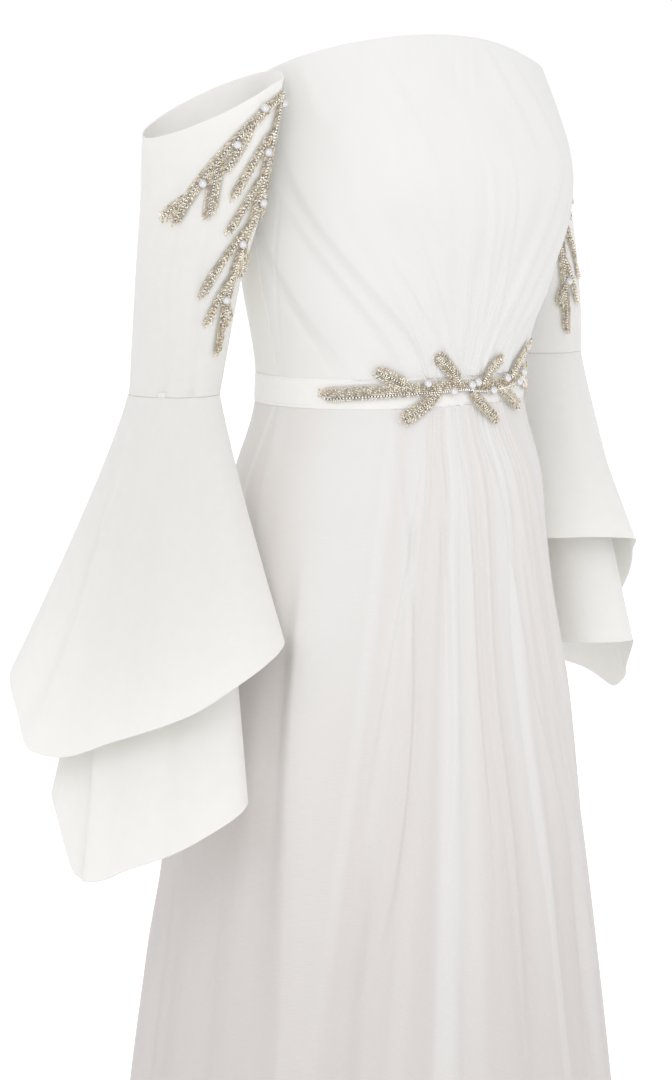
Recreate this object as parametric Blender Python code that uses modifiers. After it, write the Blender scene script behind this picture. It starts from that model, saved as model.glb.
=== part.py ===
"""Evening gown: draped strapless bodice, off-shoulder bell sleeves, sheer gathered skirt over blush.

Metres, +Z up. +X is the wearer's left and -Y is the front. The origin is the middle of the waist.
Every piece of cloth is a panel laid on a surface function and given its wall by Solidify.
"""
import math
from collections import namedtuple

import bmesh
import bpy
from mathutils import Matrix, Vector

# Cloth and seams
WALL = 0.0012
SEAM_GAP = 0.0005
LAYER_GAP = 0.0004

# Lengths of the gown, measured from the middle of the waistband
BAND_HEIGHT = 0.024
BAND_WALL = 0.0030
BAND_PROUD = 0.0009
TOP_EDGE_FRONT = 0.2905
TOP_EDGE_FALL = 0.034
TOP_EDGE_TILT = 0.005
HEM = -1.080
UNDERSKIRT_HEM = -1.050
SIDE_SEAM = math.radians(90)
BACK_SEAM = math.radians(180)
BACK_SQUARENESS = 2.0

# Round the body: half width, depth in front and behind, and how square the front corners are
Section = namedtuple("Section", "height half_width front back squareness")
TORSO = [
    Section(-1.080, 0.256, 0.222, 0.298, 2.0),
    Section(-0.589, 0.203, 0.166, 0.230, 2.0),
    Section(-0.400, 0.182, 0.148, 0.197, 2.0),
    Section(-0.300, 0.172, 0.135, 0.174, 2.0),
    Section(-0.215, 0.161, 0.125, 0.152, 2.0),
    Section(-0.128, 0.148, 0.120, 0.128, 2.0),
    Section(-0.075, 0.139, 0.115, 0.112, 2.1),
    Section(-0.030, 0.126, 0.101, 0.100, 2.2),
    Section(0.000, 0.121, 0.097, 0.097, 2.2),
    Section(0.030, 0.124, 0.101, 0.097, 2.2),
    Section(0.090, 0.139, 0.121, 0.098, 2.3),
    Section(0.160, 0.148, 0.141, 0.099, 2.5),
    Section(0.220, 0.1435, 0.129, 0.098, 2.4),
    Section(0.310, 0.124, 0.088, 0.093, 2.2),
]

# How the draped columns of a front panel fan out of the centre gathers, in degrees each side
Fan = namedtuple("Fan", "share at_waist spread")
BODICE_FAN = [Fan(0.0, 0, 0), Fan(0.643, 22, 66), Fan(1.0, 90, 90)]
SKIRT_FAN = [Fan(0.0, 0, 0), Fan(0.643, 24, 58), Fan(1.0, 90, 90)]
FAN_FADE = 0.06
FAN_COLUMNS = 56
COLUMNS_PER_GATHER = 4
BODICE_FAN_HEIGHT = 0.170
SKIRT_FAN_HEIGHT = 0.675
SKIRT_FAN_EASE = 0.7
SIDE_FADE = 0.08
GATHER_WEIGHTS = (0.9, 1.2, 0.7, 1.0, 1.25, 0.8, 1.1, 0.75)

# Depth of the gathers above and below the waistband
Depth = namedtuple("Depth", "height gathers side_folds")
BODICE_DEPTHS = [
    Depth(0.000, 0.0014, 0.0),
    Depth(0.040, 0.0021, 0.0),
    Depth(0.110, 0.0030, 0.0),
    Depth(0.190, 0.0012, 0.0),
    Depth(0.250, 0.0002, 0.0),
    Depth(0.310, 0.0000, 0.0),
]
SKIRT_DEPTHS = [
    Depth(-1.080, 0.0130, 0.0140),
    Depth(-0.600, 0.0090, 0.0085),
    Depth(-0.300, 0.0070, 0.0020),
    Depth(-0.100, 0.0050, 0.0002),
    Depth(-0.040, 0.0021, 0.0000),
    Depth(0.000, 0.0014, 0.0000),
]

# Rows and columns of the panels' grids
BODICE_ROWS = 9
BODICE_BACK_COLUMNS = 12
BODICE_BACK_ROWS = 8
SKIRT_ROWS = 8
SKIRT_ROW_CROWDING = 1.7
SKIRT_BACK_COLUMNS = 16
UNDERSKIRT_COLUMNS = 20
BAND_COLUMNS = 48
SLEEVE_COLUMNS = 26
SLEEVE_ROWS = 7
BELL_COLUMNS = 30
BELL_ROWS = 4

# Soft folds of the skirt backs and of the underskirt, which hangs just inside the sheer skirt
BACK_FOLDS = 4
UNDERSKIRT_FOLDS = 5
UNDERSKIRT_FOLD_DEPTH = 0.006
UNDERSKIRT_EASE = 0.012
UNDERSKIRT_TRIM = math.radians(0.15)

# Long diagonal folds of the bodice, from the waistband to the side, each made on both sides
Drape = namedtuple("Drape", "waist_degrees rise_degrees_per_metre depth width_degrees")
DRAPES = [
    Drape(52, 330, 0.0022, 5.0),
    Drape(38, 400, 0.0018, 5.0),
]
DRAPE_FADE_DEGREES = 8

# Sleeve rings: distance of the centre out from the middle, back from it, and the half sizes
Ring = namedtuple("Ring", "height out back half_across half_along")
SLEEVE_RINGS = {
    "right": [
        Ring(0.000, 0.2000, 0.040, 0.037, 0.039),
        Ring(0.060, 0.1960, 0.033, 0.039, 0.044),
        Ring(0.100, 0.1940, 0.027, 0.040, 0.049),
        Ring(0.160, 0.1905, 0.015, 0.042, 0.060),
        Ring(0.270, 0.1860, 0.004, 0.047, 0.068),
    ],
    "left": [
        Ring(0.000, 0.2050, 0.028, 0.037, 0.039),
        Ring(0.060, 0.1980, 0.026, 0.038, 0.043),
        Ring(0.130, 0.1880, 0.032, 0.039, 0.050),
        Ring(0.200, 0.1780, 0.047, 0.042, 0.058),
        Ring(0.270, 0.1680, 0.062, 0.046, 0.064),
    ],
}
SIDES = {"right": -1, "left": 1}
SLEEVE_LIFT = {"right": 0.000, "left": 0.016}
OPENING_MIDDLE = 0.236
OPENING_SLOPE_IN = 0.52
OPENING_SLOPE_FRONT = 0.17
BODICE_CLEARANCE = 0.0009

# Bell flounces: hem oval, and the drop of each hem round the arm from the outer side to the front
Bell = namedtuple("Bell", "out back half_long half_short layers_inside")
BELLS = {
    "right": {"upper": Bell(0.240, 0.028, 0.1155, 0.070, 0), "lower": Bell(0.252, 0.010, 0.083, 0.045, 1)},
    "left": {"upper": Bell(0.238, 0.038, 0.1100, 0.068, 0), "lower": Bell(0.250, 0.018, 0.083, 0.045, 1)},
}
BELL_TURN = math.radians(-58.5)
BELL_FLARE = 1.12
BELL_SQUARENESS = 2.3
SKIRT_CLEARANCE = 0.005
Hem = namedtuple("Hem", "degrees upper lower")
FLOUNCE_HEMS = {
    "right": [
        Hem(-135, 0.200, 0.310),
        Hem(-90, 0.205, 0.310),
        Hem(-45, 0.235, 0.330),
        Hem(-22, 0.286, 0.386),
        Hem(30, 0.270, 0.376),
        Hem(75, 0.248, 0.360),
        Hem(115, 0.206, 0.332),
        Hem(170, 0.190, 0.315),
        Hem(225, 0.200, 0.310),
    ],
    "left": [
        Hem(-135, 0.180, 0.270),
        Hem(-90, 0.190, 0.280),
        Hem(-45, 0.222, 0.300),
        Hem(-10, 0.237, 0.313),
        Hem(30, 0.208, 0.285),
        Hem(60, 0.178, 0.264),
        Hem(90, 0.163, 0.256),
        Hem(130, 0.158, 0.254),
        Hem(180, 0.168, 0.260),
        Hem(225, 0.180, 0.270),
    ],
}

# Beaded sprigs, laid out flat in millimetres before they are wrapped on the cloth
Stem = namedtuple("Stem", "x y heading length bend")
Leaf = namedtuple("Leaf", "stem share turn length bend")
Pearl = namedtuple("Pearl", "stem share aside")
WAIST_STEMS = [
    Stem(4, 4, 178, 134, 8),
    Stem(-6, 4, -6, 104, 22),
]
WAIST_LEAVES = [
    Leaf(0, 0.10, -48, 40, 14),
    Leaf(0, 0.26, 44, 46, -18),
    Leaf(0, 0.50, -38, 30, 10),
    Leaf(1, 0.06, -46, 44, 16),
    Leaf(1, 0.20, 52, 34, -14),
    Leaf(1, 0.44, -42, 38, 12),
    Leaf(1, 0.62, 46, 44, -20),
    Leaf(1, 0.80, -40, 26, 10),
]
WAIST_PEARLS = [
    Pearl(0, 0.18, 4),
    Pearl(0, 0.38, -4),
    Pearl(0, 0.02, -1),
    Pearl(1, 0.14, 4),
    Pearl(1, 0.34, -4),
    Pearl(1, 0.54, 4),
    Pearl(1, 0.74, -4),
    Pearl(1, 0.84, 2),
]
SLEEVE_STEMS = [
    Stem(14, -9, -100, 206, 12),
    Stem(16, -13, 186, 112, 58),
]
SLEEVE_LEAVES = [
    Leaf(0, 0.14, -44, 52, 20),
    Leaf(0, 0.30, -40, 44, 18),
    Leaf(0, 0.36, 38, 30, -14),
    Leaf(0, 0.48, -42, 56, 20),
    Leaf(0, 0.60, 36, 26, -12),
    Leaf(0, 0.68, -38, 38, 16),
    Leaf(0, 0.82, 34, 20, -10),
    Leaf(1, 0.30, 40, 34, -16),
    Leaf(1, 0.55, 42, 46, 14),
    Leaf(1, 0.82, -36, 24, 10),
]
SLEEVE_PEARLS = [
    Pearl(0, 0.05, 4),
    Pearl(0, 0.22, -4),
    Pearl(0, 0.42, 4),
    Pearl(0, 0.56, -4),
    Pearl(0, 0.78, -4),
    Pearl(1, 0.20, -4),
    Pearl(1, 0.44, 4),
    Pearl(1, 0.72, 4),
]
MILLIMETRE = 0.001
SPRIG_HALF_WIDTH = 4.4
SPRIG_TIP = 0.30
SPRIG_BASE_SHARE = 0.12
SPRIG_TAPER = 0.6
SPRIG_RISE = 0.45
SPRIG_UNDERSIDE = 0.06
SPRIG_STATION = 11.0
BEND_STEPS = 24
WELD_DISTANCE = 0.001
PEARL_RADIUS = 2.8
PEARL_HEIGHT = 2.0
PEARL_SEGMENTS = 7
PEARL_RINGS = 4

# Where the sprigs lie: their height off the cloth, and the radii that their lengths wrap round
WAIST_SPRIG_OFF = 0.0034
WAIST_SPRIG_RADIUS = 0.109
SLEEVE_SPRIG_OFF = 0.0014
SLEEVE_SPRIG_DEGREES = 98
SLEEVE_SPRIG_RADIUS = 0.052
NEARBY_DEGREES = 1.0
NEARBY_HEIGHT = 0.004

# Invisible zip at the centre back: its slider and hanging pull tab
ZIP_HEIGHT = 0.214
SLIDER_SIZE = (0.0056, 0.0022, 0.0090)
LUG_SIZE = (0.0010, 0.0042, 0.0030)
LUG_SPREAD = 0.0022
PIN_RADIUS = 0.0005
PULL_LENGTH = 0.022
PULL_HALF_WIDTH = 0.0030
PULL_THICKNESS = 0.0012
EYE_RADIUS = 0.0016
EYE_HOLE_RADIUS = 0.0009
ROUND_SEGMENTS = 16

COLOURS = {
    "crepe": (0.890, 0.880, 0.855, 1.0),
    "chiffon": (0.870, 0.860, 0.845, 1.0),
    "satin": (0.885, 0.875, 0.850, 1.0),
    "blush": (0.800, 0.690, 0.630, 1.0),
    "beading": (0.640, 0.560, 0.420, 1.0),
    "zip": (0.800, 0.795, 0.780, 1.0),
}
ROUGHNESS = {"crepe": 0.75, "chiffon": 0.8, "satin": 0.45, "blush": 0.8, "beading": 0.3, "zip": 0.35}
METALLIC = {"beading": 0.4, "zip": 0.6}


def curved(rows, place):
    """Blend a table's rows at a place in its first column, through a smooth cubic."""
    last = len(rows) - 1
    place = min(max(place, rows[0][0]), rows[last][0])
    index = max(i for i in range(last) if rows[i][0] <= place)

    def slope(i, column):
        low = max(i - 1, 0)
        high = min(i + 1, last)
        return (rows[high][column] - rows[low][column]) / (rows[high][0] - rows[low][0])

    step = rows[index + 1][0] - rows[index][0]
    t = (place - rows[index][0]) / step
    values = []
    for column in range(len(rows[0])):
        start = rows[index][column]
        end = rows[index + 1][column]
        ease = t * t * (3 - 2 * t)
        leave = (t ** 3 - 2 * t ** 2 + t) * step * slope(index, column)
        arrive = (t ** 3 - t ** 2) * step * slope(index + 1, column)
        values.append(start + (end - start) * ease + leave + arrive)
    return type(rows[0])(*values)


def straight(rows, place):
    """Blend a table's rows at a place in its first column, along straight lines."""
    index = max(i for i in range(len(rows) - 1) if rows[i][0] <= place)
    t = (place - rows[index][0]) / (rows[index + 1][0] - rows[index][0])
    return type(rows[0])(*(a + (b - a) * t for a, b in zip(rows[index], rows[index + 1])))


def mix(start, end, share):
    """Return the value a share of the way from start to end."""
    return start + (end - start) * share


def torso_point(angle, height, out=0.0):
    """Return the point of the body's surface at an angle from the front, moved out from the axis."""
    row = curved(TORSO, height)
    in_front = math.cos(angle) > 0
    depth = row.front if in_front else row.back
    power = row.squareness if in_front else BACK_SQUARENESS
    across = abs(math.sin(angle) / row.half_width) ** power
    along = abs(math.cos(angle) / depth) ** power
    radius = (across + along) ** (-1 / power) + out
    return Vector((radius * math.sin(angle), -radius * math.cos(angle), height))


def fan_angle(fan, share, spread):
    """Return the angle of a draped column: gathered at the waist, fanned out by the spread 0 to 1."""
    row = straight(fan, abs(share))
    degrees = mix(row.at_waist, row.spread, spread)
    return math.copysign(math.radians(degrees), share)


def gather_wave(share):
    """Return how far a column stands out within its gather, 0 to the gather's own weight."""
    column = (share + 1) / 2 * FAN_COLUMNS
    weight = GATHER_WEIGHTS[int(column / COLUMNS_PER_GATHER) % len(GATHER_WEIGHTS)]
    wave = 0.5 + 0.5 * math.cos(2 * math.pi * column / COLUMNS_PER_GATHER)
    return wave * weight


def top_edge(angle):
    """Return the height of the strapless top edge: it falls to the back, and a little to the left."""
    return TOP_EDGE_FRONT - TOP_EDGE_FALL * (1 - math.cos(angle)) - TOP_EDGE_TILT * math.sin(angle)


def drape_out(angle, height):
    """Return how far the long diagonal folds lift the bodice at a point."""
    out = 0.0
    for drape in DRAPES:
        middle = drape.waist_degrees + drape.rise_degrees_per_metre * height
        distance = (abs(math.degrees(angle)) - middle) / drape.width_degrees
        out += drape.depth * math.exp(-distance ** 2)
    fade = min(1.0, (math.degrees(SIDE_SEAM) - abs(math.degrees(angle))) / DRAPE_FADE_DEGREES)
    return out * max(fade, 0.0)


def seam_trim(height):
    """Return the angle that half a seam's gap takes from a panel's edge at the side."""
    return SEAM_GAP / 2 / curved(TORSO, height).half_width


def zip_trim(height):
    """Return the angle that half a seam's gap takes from a panel's edge at the centre back."""
    return SEAM_GAP / 2 / curved(TORSO, height).back


def inside_fan(fan, share):
    """Return 1 within the fan of gathers, falling to 0 across its outermost columns."""
    return max(0.0, min(1.0, (fan[1].share + FAN_FADE - abs(share)) / FAN_FADE))


def bodice_front_point(share, rise):
    """Return a point of the draped front: share -1 to 1 across it, rise 0 to 1 up it."""
    bottom = BAND_HEIGHT / 2 + SEAM_GAP
    height = mix(bottom, top_edge(share * SIDE_SEAM), rise)
    spread = min(height / BODICE_FAN_HEIGHT, 1.0)
    angle = fan_angle(BODICE_FAN, share, spread)
    height = mix(bottom, top_edge(angle), rise)
    limit = SIDE_SEAM - seam_trim(height)
    angle = max(-limit, min(limit, angle))
    depth = curved(BODICE_DEPTHS, height).gathers
    out = depth * gather_wave(share) * inside_fan(BODICE_FAN, share) + drape_out(angle, height)
    return torso_point(angle, height, out)


def back_angle(side, share, height):
    """Return the angle of a back panel's column, share 0 at the side seam to 1 at the centre back."""
    return side * mix(SIDE_SEAM + seam_trim(height), BACK_SEAM - zip_trim(height), share)


def skirt_height(hem, rise):
    """Return the height of a skirt's row, with the rows closer together near the waist."""
    top = -BAND_HEIGHT / 2 - SEAM_GAP
    return mix(top, hem, (1 - rise) ** SKIRT_ROW_CROWDING)


def skirt_front_point(share, rise):
    """Return a point of the sheer skirt's front: share -1 to 1 across it, rise 0 at the hem to 1."""
    height = skirt_height(HEM, rise)
    spread = min(-height / SKIRT_FAN_HEIGHT, 1.0) ** SKIRT_FAN_EASE
    limit = SIDE_SEAM - seam_trim(height)
    angle = max(-limit, min(limit, fan_angle(SKIRT_FAN, share, spread)))
    depths = curved(SKIRT_DEPTHS, height)
    depth = mix(depths.side_folds, depths.gathers, inside_fan(SKIRT_FAN, share))
    at_side = min(1.0, (1 - abs(share)) / SIDE_FADE)
    return torso_point(angle, height, depth * gather_wave(share) * at_side)


def skirt_back_point(side, share, rise):
    """Return a point of one sheer skirt back: share 0 at the side seam to 1 at the centre back."""
    height = skirt_height(HEM, rise)
    depth = curved(SKIRT_DEPTHS, height).side_folds
    wave = 0.5 - 0.5 * math.cos(2 * math.pi * BACK_FOLDS * share)
    return torso_point(back_angle(side, share, height), height, depth * wave)


def underskirt_point(angle_from, angle_to, share, rise):
    """Return a point of the underskirt between two angles: it hangs just inside the sheer skirt."""
    height = skirt_height(UNDERSKIRT_HEM, rise)
    angle = mix(angle_from, angle_to, share)
    down = height / UNDERSKIRT_HEM
    fold = 0.5 - 0.5 * math.cos(2 * math.pi * UNDERSKIRT_FOLDS * share)
    inside = WALL + LAYER_GAP + UNDERSKIRT_EASE * down
    return torso_point(angle, height, UNDERSKIRT_FOLD_DEPTH * down * fold - inside)


def beside_torso(point, clearance):
    """Move a point of a sleeve or flounce out to where the body of the gown leaves room."""
    angle = math.atan2(point.x, -point.y)
    nearest = torso_point(angle, point.z, clearance)
    room = math.hypot(nearest.x, nearest.y) - math.hypot(point.x, point.y)
    return nearest if room > 0 else point


def sleeve_axes(side):
    """Return the directions out from the body and to the front for one side."""
    return Vector((SIDES[side], 0, 0)), Vector((0, -1, 0))


def opening_height(side, degrees):
    """Return the height of the sleeve's slanted opening at an angle from its outer side to the front."""
    ring = SLEEVE_RINGS[side][-1]
    outward = ring.half_across * math.cos(math.radians(degrees))
    forward = ring.half_along * math.sin(math.radians(degrees))
    return OPENING_MIDDLE - OPENING_SLOPE_IN * outward + OPENING_SLOPE_FRONT * forward


def sleeve_point(side, degrees, height, inside=0.0):
    """Return a point of the upper sleeve at a height above its flounce seam."""
    out_axis, front_axis = sleeve_axes(side)
    ring = curved(SLEEVE_RINGS[side], height)
    angle = math.radians(degrees)
    centre = out_axis * ring.out - front_axis * ring.back
    oval = out_axis * (ring.half_across - inside) * math.cos(angle)
    oval += front_axis * (ring.half_along - inside) * math.sin(angle)
    return beside_torso(centre + oval + Vector((0, 0, height)), BODICE_CLEARANCE)


def sleeve_degrees(side, share):
    """Return the angle of a sleeve column, so that both sides run the same way round."""
    return -SIDES[side] * 360 * share


def upper_sleeve_point(side, share, rise):
    """Return a point of the upper sleeve: share 0 to 1 round it, rise 0 at the seam to 1."""
    degrees = sleeve_degrees(side, share)
    height = mix(SLEEVE_LIFT[side], opening_height(side, degrees), rise)
    return sleeve_point(side, degrees, height)


def flounce_point(side, bell, share, rise):
    """Return a point of a bell flounce: share 0 to 1 round it, rise 0 at the hem to 1 at the seam."""
    out_axis, front_axis = sleeve_axes(side)
    degrees = sleeve_degrees(side, share)
    first = FLOUNCE_HEMS[side][0].degrees
    hem = curved(FLOUNCE_HEMS[side], (degrees - first) % 360 + first)
    drop = hem.lower if bell.layers_inside else hem.upper
    down = 1 - rise
    seam = SLEEVE_LIFT[side]
    start = sleeve_point(side, degrees, seam, bell.layers_inside * (WALL + LAYER_GAP))
    start.z = seam - SEAM_GAP

    angle = math.radians(degrees)
    turned = angle - BELL_TURN
    power = BELL_SQUARENESS
    long_part = abs(math.cos(turned) / bell.half_long) ** power
    short_part = abs(math.sin(turned) / bell.half_short) ** power
    radius = (long_part + short_part) ** (-1 / power)
    direction = out_axis * math.cos(angle) + front_axis * math.sin(angle)
    end = out_axis * bell.out - front_axis * bell.back + direction * radius
    point = start.lerp(end, down ** BELL_FLARE)
    point.z = start.z - down * drop
    return beside_torso(point, SKIRT_CLEARANCE + bell.layers_inside * (WALL + LAYER_GAP))


def new_object(name, mesh, material, collection):
    """Add a mesh object of one material to a collection."""
    obj = bpy.data.objects.new(name, mesh)
    mesh.materials.clear()
    mesh.materials.append(material)
    collection.objects.link(obj)
    return obj


def panel(name, point, columns, rows, wall, material, collection, tube=False):
    """Lay a grid on a surface function and give it a wall on its inner side."""
    grid = bmesh.new()
    bmesh.ops.create_grid(grid, x_segments=columns, y_segments=rows, size=0.5)
    for vertex in grid.verts:
        vertex.co = point(vertex.co.x + 0.5, vertex.co.y + 0.5)
    if tube:
        bmesh.ops.remove_doubles(grid, verts=grid.verts, dist=WALL / 100)
    mesh = bpy.data.meshes.new(name)
    grid.to_mesh(mesh)
    grid.free()
    mesh.shade_smooth()
    obj = new_object(name, mesh, material, collection)
    solidify = obj.modifiers.new("Wall", "SOLIDIFY")
    solidify.thickness = wall
    solidify.offset = -1
    return obj


def from_bmesh(name, shape, collection):
    """Turn a bmesh into an object of a collection."""
    mesh = bpy.data.meshes.new(name)
    shape.to_mesh(mesh)
    shape.free()
    obj = bpy.data.objects.new(name, mesh)
    collection.objects.link(obj)
    return obj


def arc_point(stem, share):
    """Return the flat point and heading at a share along a bent stem, in millimetres."""
    x = stem.x
    y = stem.y
    for step in range(BEND_STEPS):
        heading = math.radians(stem.heading + stem.bend * share * (step + 0.5) / BEND_STEPS)
        x += stem.length * share / BEND_STEPS * math.cos(heading)
        y += stem.length * share / BEND_STEPS * math.sin(heading)
    return x, y, stem.heading + stem.bend * share


def arm_object(name, stem, collection):
    """Make one flat tapered arm of a sprig along a bent line, with a ridge on its top."""
    data = bpy.data.curves.new(name, "CURVE")
    data.dimensions = "3D"
    data.twist_mode = "Z_UP"
    data.bevel_depth = SPRIG_HALF_WIDTH
    data.bevel_resolution = 0
    data.use_fill_caps = True
    data.render_resolution_u = 0
    spline = data.splines.new("POLY")
    stations = max(3, math.ceil(stem.length / SPRIG_STATION))
    spline.points.add(stations)
    for index, curve_point in enumerate(spline.points):
        share = index / stations
        x, y, heading = arc_point(stem, share)
        curve_point.co = (x, y, 0, 1)
        along = min(SPRIG_BASE_SHARE + share, 1.0)
        curve_point.radius = mix(SPRIG_TIP, 1.0, math.sin(math.pi * along) ** SPRIG_TAPER)
    curve = bpy.data.objects.new(name, data)
    collection.objects.link(curve)
    bpy.context.view_layer.update()
    mesh = bpy.data.meshes.new_from_object(curve.evaluated_get(bpy.context.evaluated_depsgraph_get()))
    bpy.data.objects.remove(curve)
    shape = bmesh.new()
    shape.from_mesh(mesh)
    bmesh.ops.remove_doubles(shape, verts=shape.verts, dist=WELD_DISTANCE)
    for vertex in shape.verts:
        vertex.co.z *= SPRIG_RISE if vertex.co.z > 0 else SPRIG_UNDERSIDE
    return from_bmesh(name, shape, collection)


def pearl_object(name, stem, pearl, collection):
    """Make one pearl beside a stem."""
    x, y, heading = arc_point(stem, pearl.share)
    aside = math.radians(heading + 90)
    centre = (x + pearl.aside * math.cos(aside), y + pearl.aside * math.sin(aside), PEARL_HEIGHT)
    shape = bmesh.new()
    bmesh.ops.create_uvsphere(shape, u_segments=PEARL_SEGMENTS, v_segments=PEARL_RINGS,
                              radius=PEARL_RADIUS, matrix=Matrix.Translation(centre))
    return from_bmesh(name, shape, collection)


def sprig(name, stems, leaves, pearls, wrap, flip, material, collection, cutters):
    """Join a sprig's arms and pearls in one flat body, then wrap it on the cloth."""
    pieces = []
    for index, stem in enumerate(stems):
        pieces.append(arm_object(f"{name}_stem_{index}", stem, cutters))
    for index, leaf in enumerate(leaves):
        x, y, heading = arc_point(stems[leaf.stem], leaf.share)
        arm = Stem(x, y, heading + leaf.turn, leaf.length, leaf.bend)
        pieces.append(arm_object(f"{name}_leaf_{index}", arm, cutters))
    for index, pearl in enumerate(pearls):
        pieces.append(pearl_object(f"{name}_pearl_{index}", stems[pearl.stem], pearl, cutters))

    group = bpy.data.collections.new(f"{name}_arms")
    for piece in pieces[1:]:
        group.objects.link(piece)
    union = pieces[0].modifiers.new("Join", "BOOLEAN")
    union.operation = "UNION"
    union.solver = "EXACT"
    union.operand_type = "COLLECTION"
    union.collection = group
    bpy.context.view_layer.update()
    graph = bpy.context.evaluated_depsgraph_get()
    mesh = bpy.data.meshes.new_from_object(pieces[0].evaluated_get(graph))
    for piece in pieces:
        bpy.data.objects.remove(piece)
    bpy.data.collections.remove(group)

    shape = bmesh.new()
    shape.from_mesh(mesh)
    bmesh.ops.triangulate(shape, faces=shape.faces)
    for vertex in shape.verts:
        vertex.co = wrap(vertex.co * MILLIMETRE)
    if flip:
        bmesh.ops.reverse_faces(shape, faces=shape.faces)
    shape.to_mesh(mesh)
    shape.free()
    return new_object(name, mesh, material, collection)


def lifted(point, u, v, step_u, inner, out):
    """Return a surface's point moved out along its normal, away from a point inside the surface."""
    across = point(u + step_u, v) - point(u - step_u, v)
    up = point(u, v + NEARBY_HEIGHT) - point(u, v - NEARBY_HEIGHT)
    normal = across.cross(up).normalized()
    here = point(u, v)
    if normal.dot(here - inner) < 0:
        normal = -normal
    return here + normal * out


def wrap_on_waist(flat):
    """Wrap a flat point on the waist: x round it from the centre front, y up and z out."""
    angle = flat.x / WAIST_SPRIG_RADIUS
    inner = Vector((0, 0, flat.y))
    return lifted(torso_point, angle, flat.y, math.radians(NEARBY_DEGREES), inner,
                  WAIST_SPRIG_OFF + flat.z)


def wrap_on_sleeve(side, flat):
    """Wrap a flat point on a sleeve: x round to its inner side, y up from its opening and z out."""
    degrees = SLEEVE_SPRIG_DEGREES + math.degrees(flat.x / SLEEVE_SPRIG_RADIUS)
    height = opening_height(side, degrees) + flat.y
    ring = curved(SLEEVE_RINGS[side], height)
    inner = Vector((SIDES[side] * ring.out, ring.back, height))
    return lifted(lambda u, v: sleeve_point(side, u, v), degrees, height, NEARBY_DEGREES, inner,
                  SLEEVE_SPRIG_OFF + flat.z)


def joined(base, tools, operation):
    """Return the mesh of a Boolean of one object with others, and remove them all."""
    for tool in tools:
        modifier = base.modifiers.new("Join", "BOOLEAN")
        modifier.operation = operation
        modifier.solver = "EXACT"
        modifier.object = tool
    bpy.context.view_layer.update()
    graph = bpy.context.evaluated_depsgraph_get()
    mesh = bpy.data.meshes.new_from_object(base.evaluated_get(graph))
    for piece in [base] + tools:
        bpy.data.objects.remove(piece)
    return mesh


def box(name, size, centre, collection):
    """Make a box of a size about a centre."""
    shape = bmesh.new()
    bmesh.ops.create_cube(shape, size=1, matrix=Matrix.Translation(centre) @ Matrix.Diagonal((*size, 1)))
    return from_bmesh(name, shape, collection)


def rod(name, radius, length, centre, collection):
    """Make a rod along X."""
    shape = bmesh.new()
    turn = Matrix.Rotation(math.radians(90), 4, "Y")
    bmesh.ops.create_cone(shape, cap_ends=True, segments=ROUND_SEGMENTS, radius1=radius, radius2=radius,
                          depth=length, matrix=Matrix.Translation(centre) @ turn)
    return from_bmesh(name, shape, collection)


def zip_pivot():
    """Return the middle of the pin that the pull tab turns on."""
    skin = torso_point(BACK_SEAM, ZIP_HEIGHT).y
    lug_back = skin + LAYER_GAP + SLIDER_SIZE[1] + LUG_SIZE[1] / 2
    return Vector((0, lug_back, ZIP_HEIGHT))


def make_zip(collection, cutters):
    """Make the slider with its lugs and pin, and the flat pull tab that hangs on the pin."""
    pivot = zip_pivot()
    plate_y = pivot.y - LUG_SIZE[1] / 2 - SLIDER_SIZE[1] / 2
    plate = box("zip_plate", SLIDER_SIZE, (0, plate_y, ZIP_HEIGHT), cutters)
    overlap = PIN_RADIUS
    lug_size = (LUG_SIZE[0], LUG_SIZE[1] + overlap, LUG_SIZE[2])
    lugs = [box(f"zip_lug_{side}", lug_size, (side * LUG_SPREAD, pivot.y - overlap / 2, ZIP_HEIGHT),
                cutters) for side in (-1, 1)]
    pin = rod("zip_pin", PIN_RADIUS, 2 * LUG_SPREAD, pivot, cutters)
    new_object("zip_slider", joined(plate, lugs + [pin], "UNION"), piece_material("zip_slider", "zip"),
               collection)

    eye = rod("zip_eye", EYE_RADIUS, PULL_THICKNESS, pivot, cutters)
    tab = bmesh.new()
    length = PULL_LENGTH - EYE_RADIUS
    centre = pivot - Vector((0, 0, EYE_HOLE_RADIUS + length / 2))
    bmesh.ops.create_cube(tab, size=1, matrix=Matrix.Translation(centre)
                          @ Matrix.Diagonal((2 * PULL_HALF_WIDTH, PULL_THICKNESS, length, 1)))
    top = max(vertex.co.z for vertex in tab.verts)
    for vertex in tab.verts:
        if vertex.co.z > top - EYE_RADIUS:
            vertex.co.x *= PULL_THICKNESS / (2 * PULL_HALF_WIDTH)
    tab = from_bmesh("zip_tab", tab, cutters)
    hole = rod("zip_hole", EYE_HOLE_RADIUS, 3 * PULL_THICKNESS, pivot, cutters)
    material = piece_material("zip_pull", "zip")
    body = new_object("zip_body", joined(eye, [tab], "UNION"), material, cutters)
    mesh = joined(body, [hole], "DIFFERENCE")
    mesh.transform(Matrix.Translation(-pivot))
    pull = new_object("zip_pull", mesh, material, collection)
    pull.location = pivot


def principled(name, colour, roughness, metallic):
    """Make a plain material of one colour."""
    material = bpy.data.materials.new(name)
    material.use_nodes = True
    shader = material.node_tree.nodes["Principled BSDF"]
    shader.inputs["Base Color"].default_value = colour
    shader.inputs["Roughness"].default_value = roughness
    shader.inputs["Metallic"].default_value = metallic
    return material


def piece_material(node, cloth):
    """Make the material of one sub-part."""
    return principled(f"{node}_{cloth}", COLOURS[cloth], ROUGHNESS[cloth], METALLIC.get(cloth, 0.0))


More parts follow.
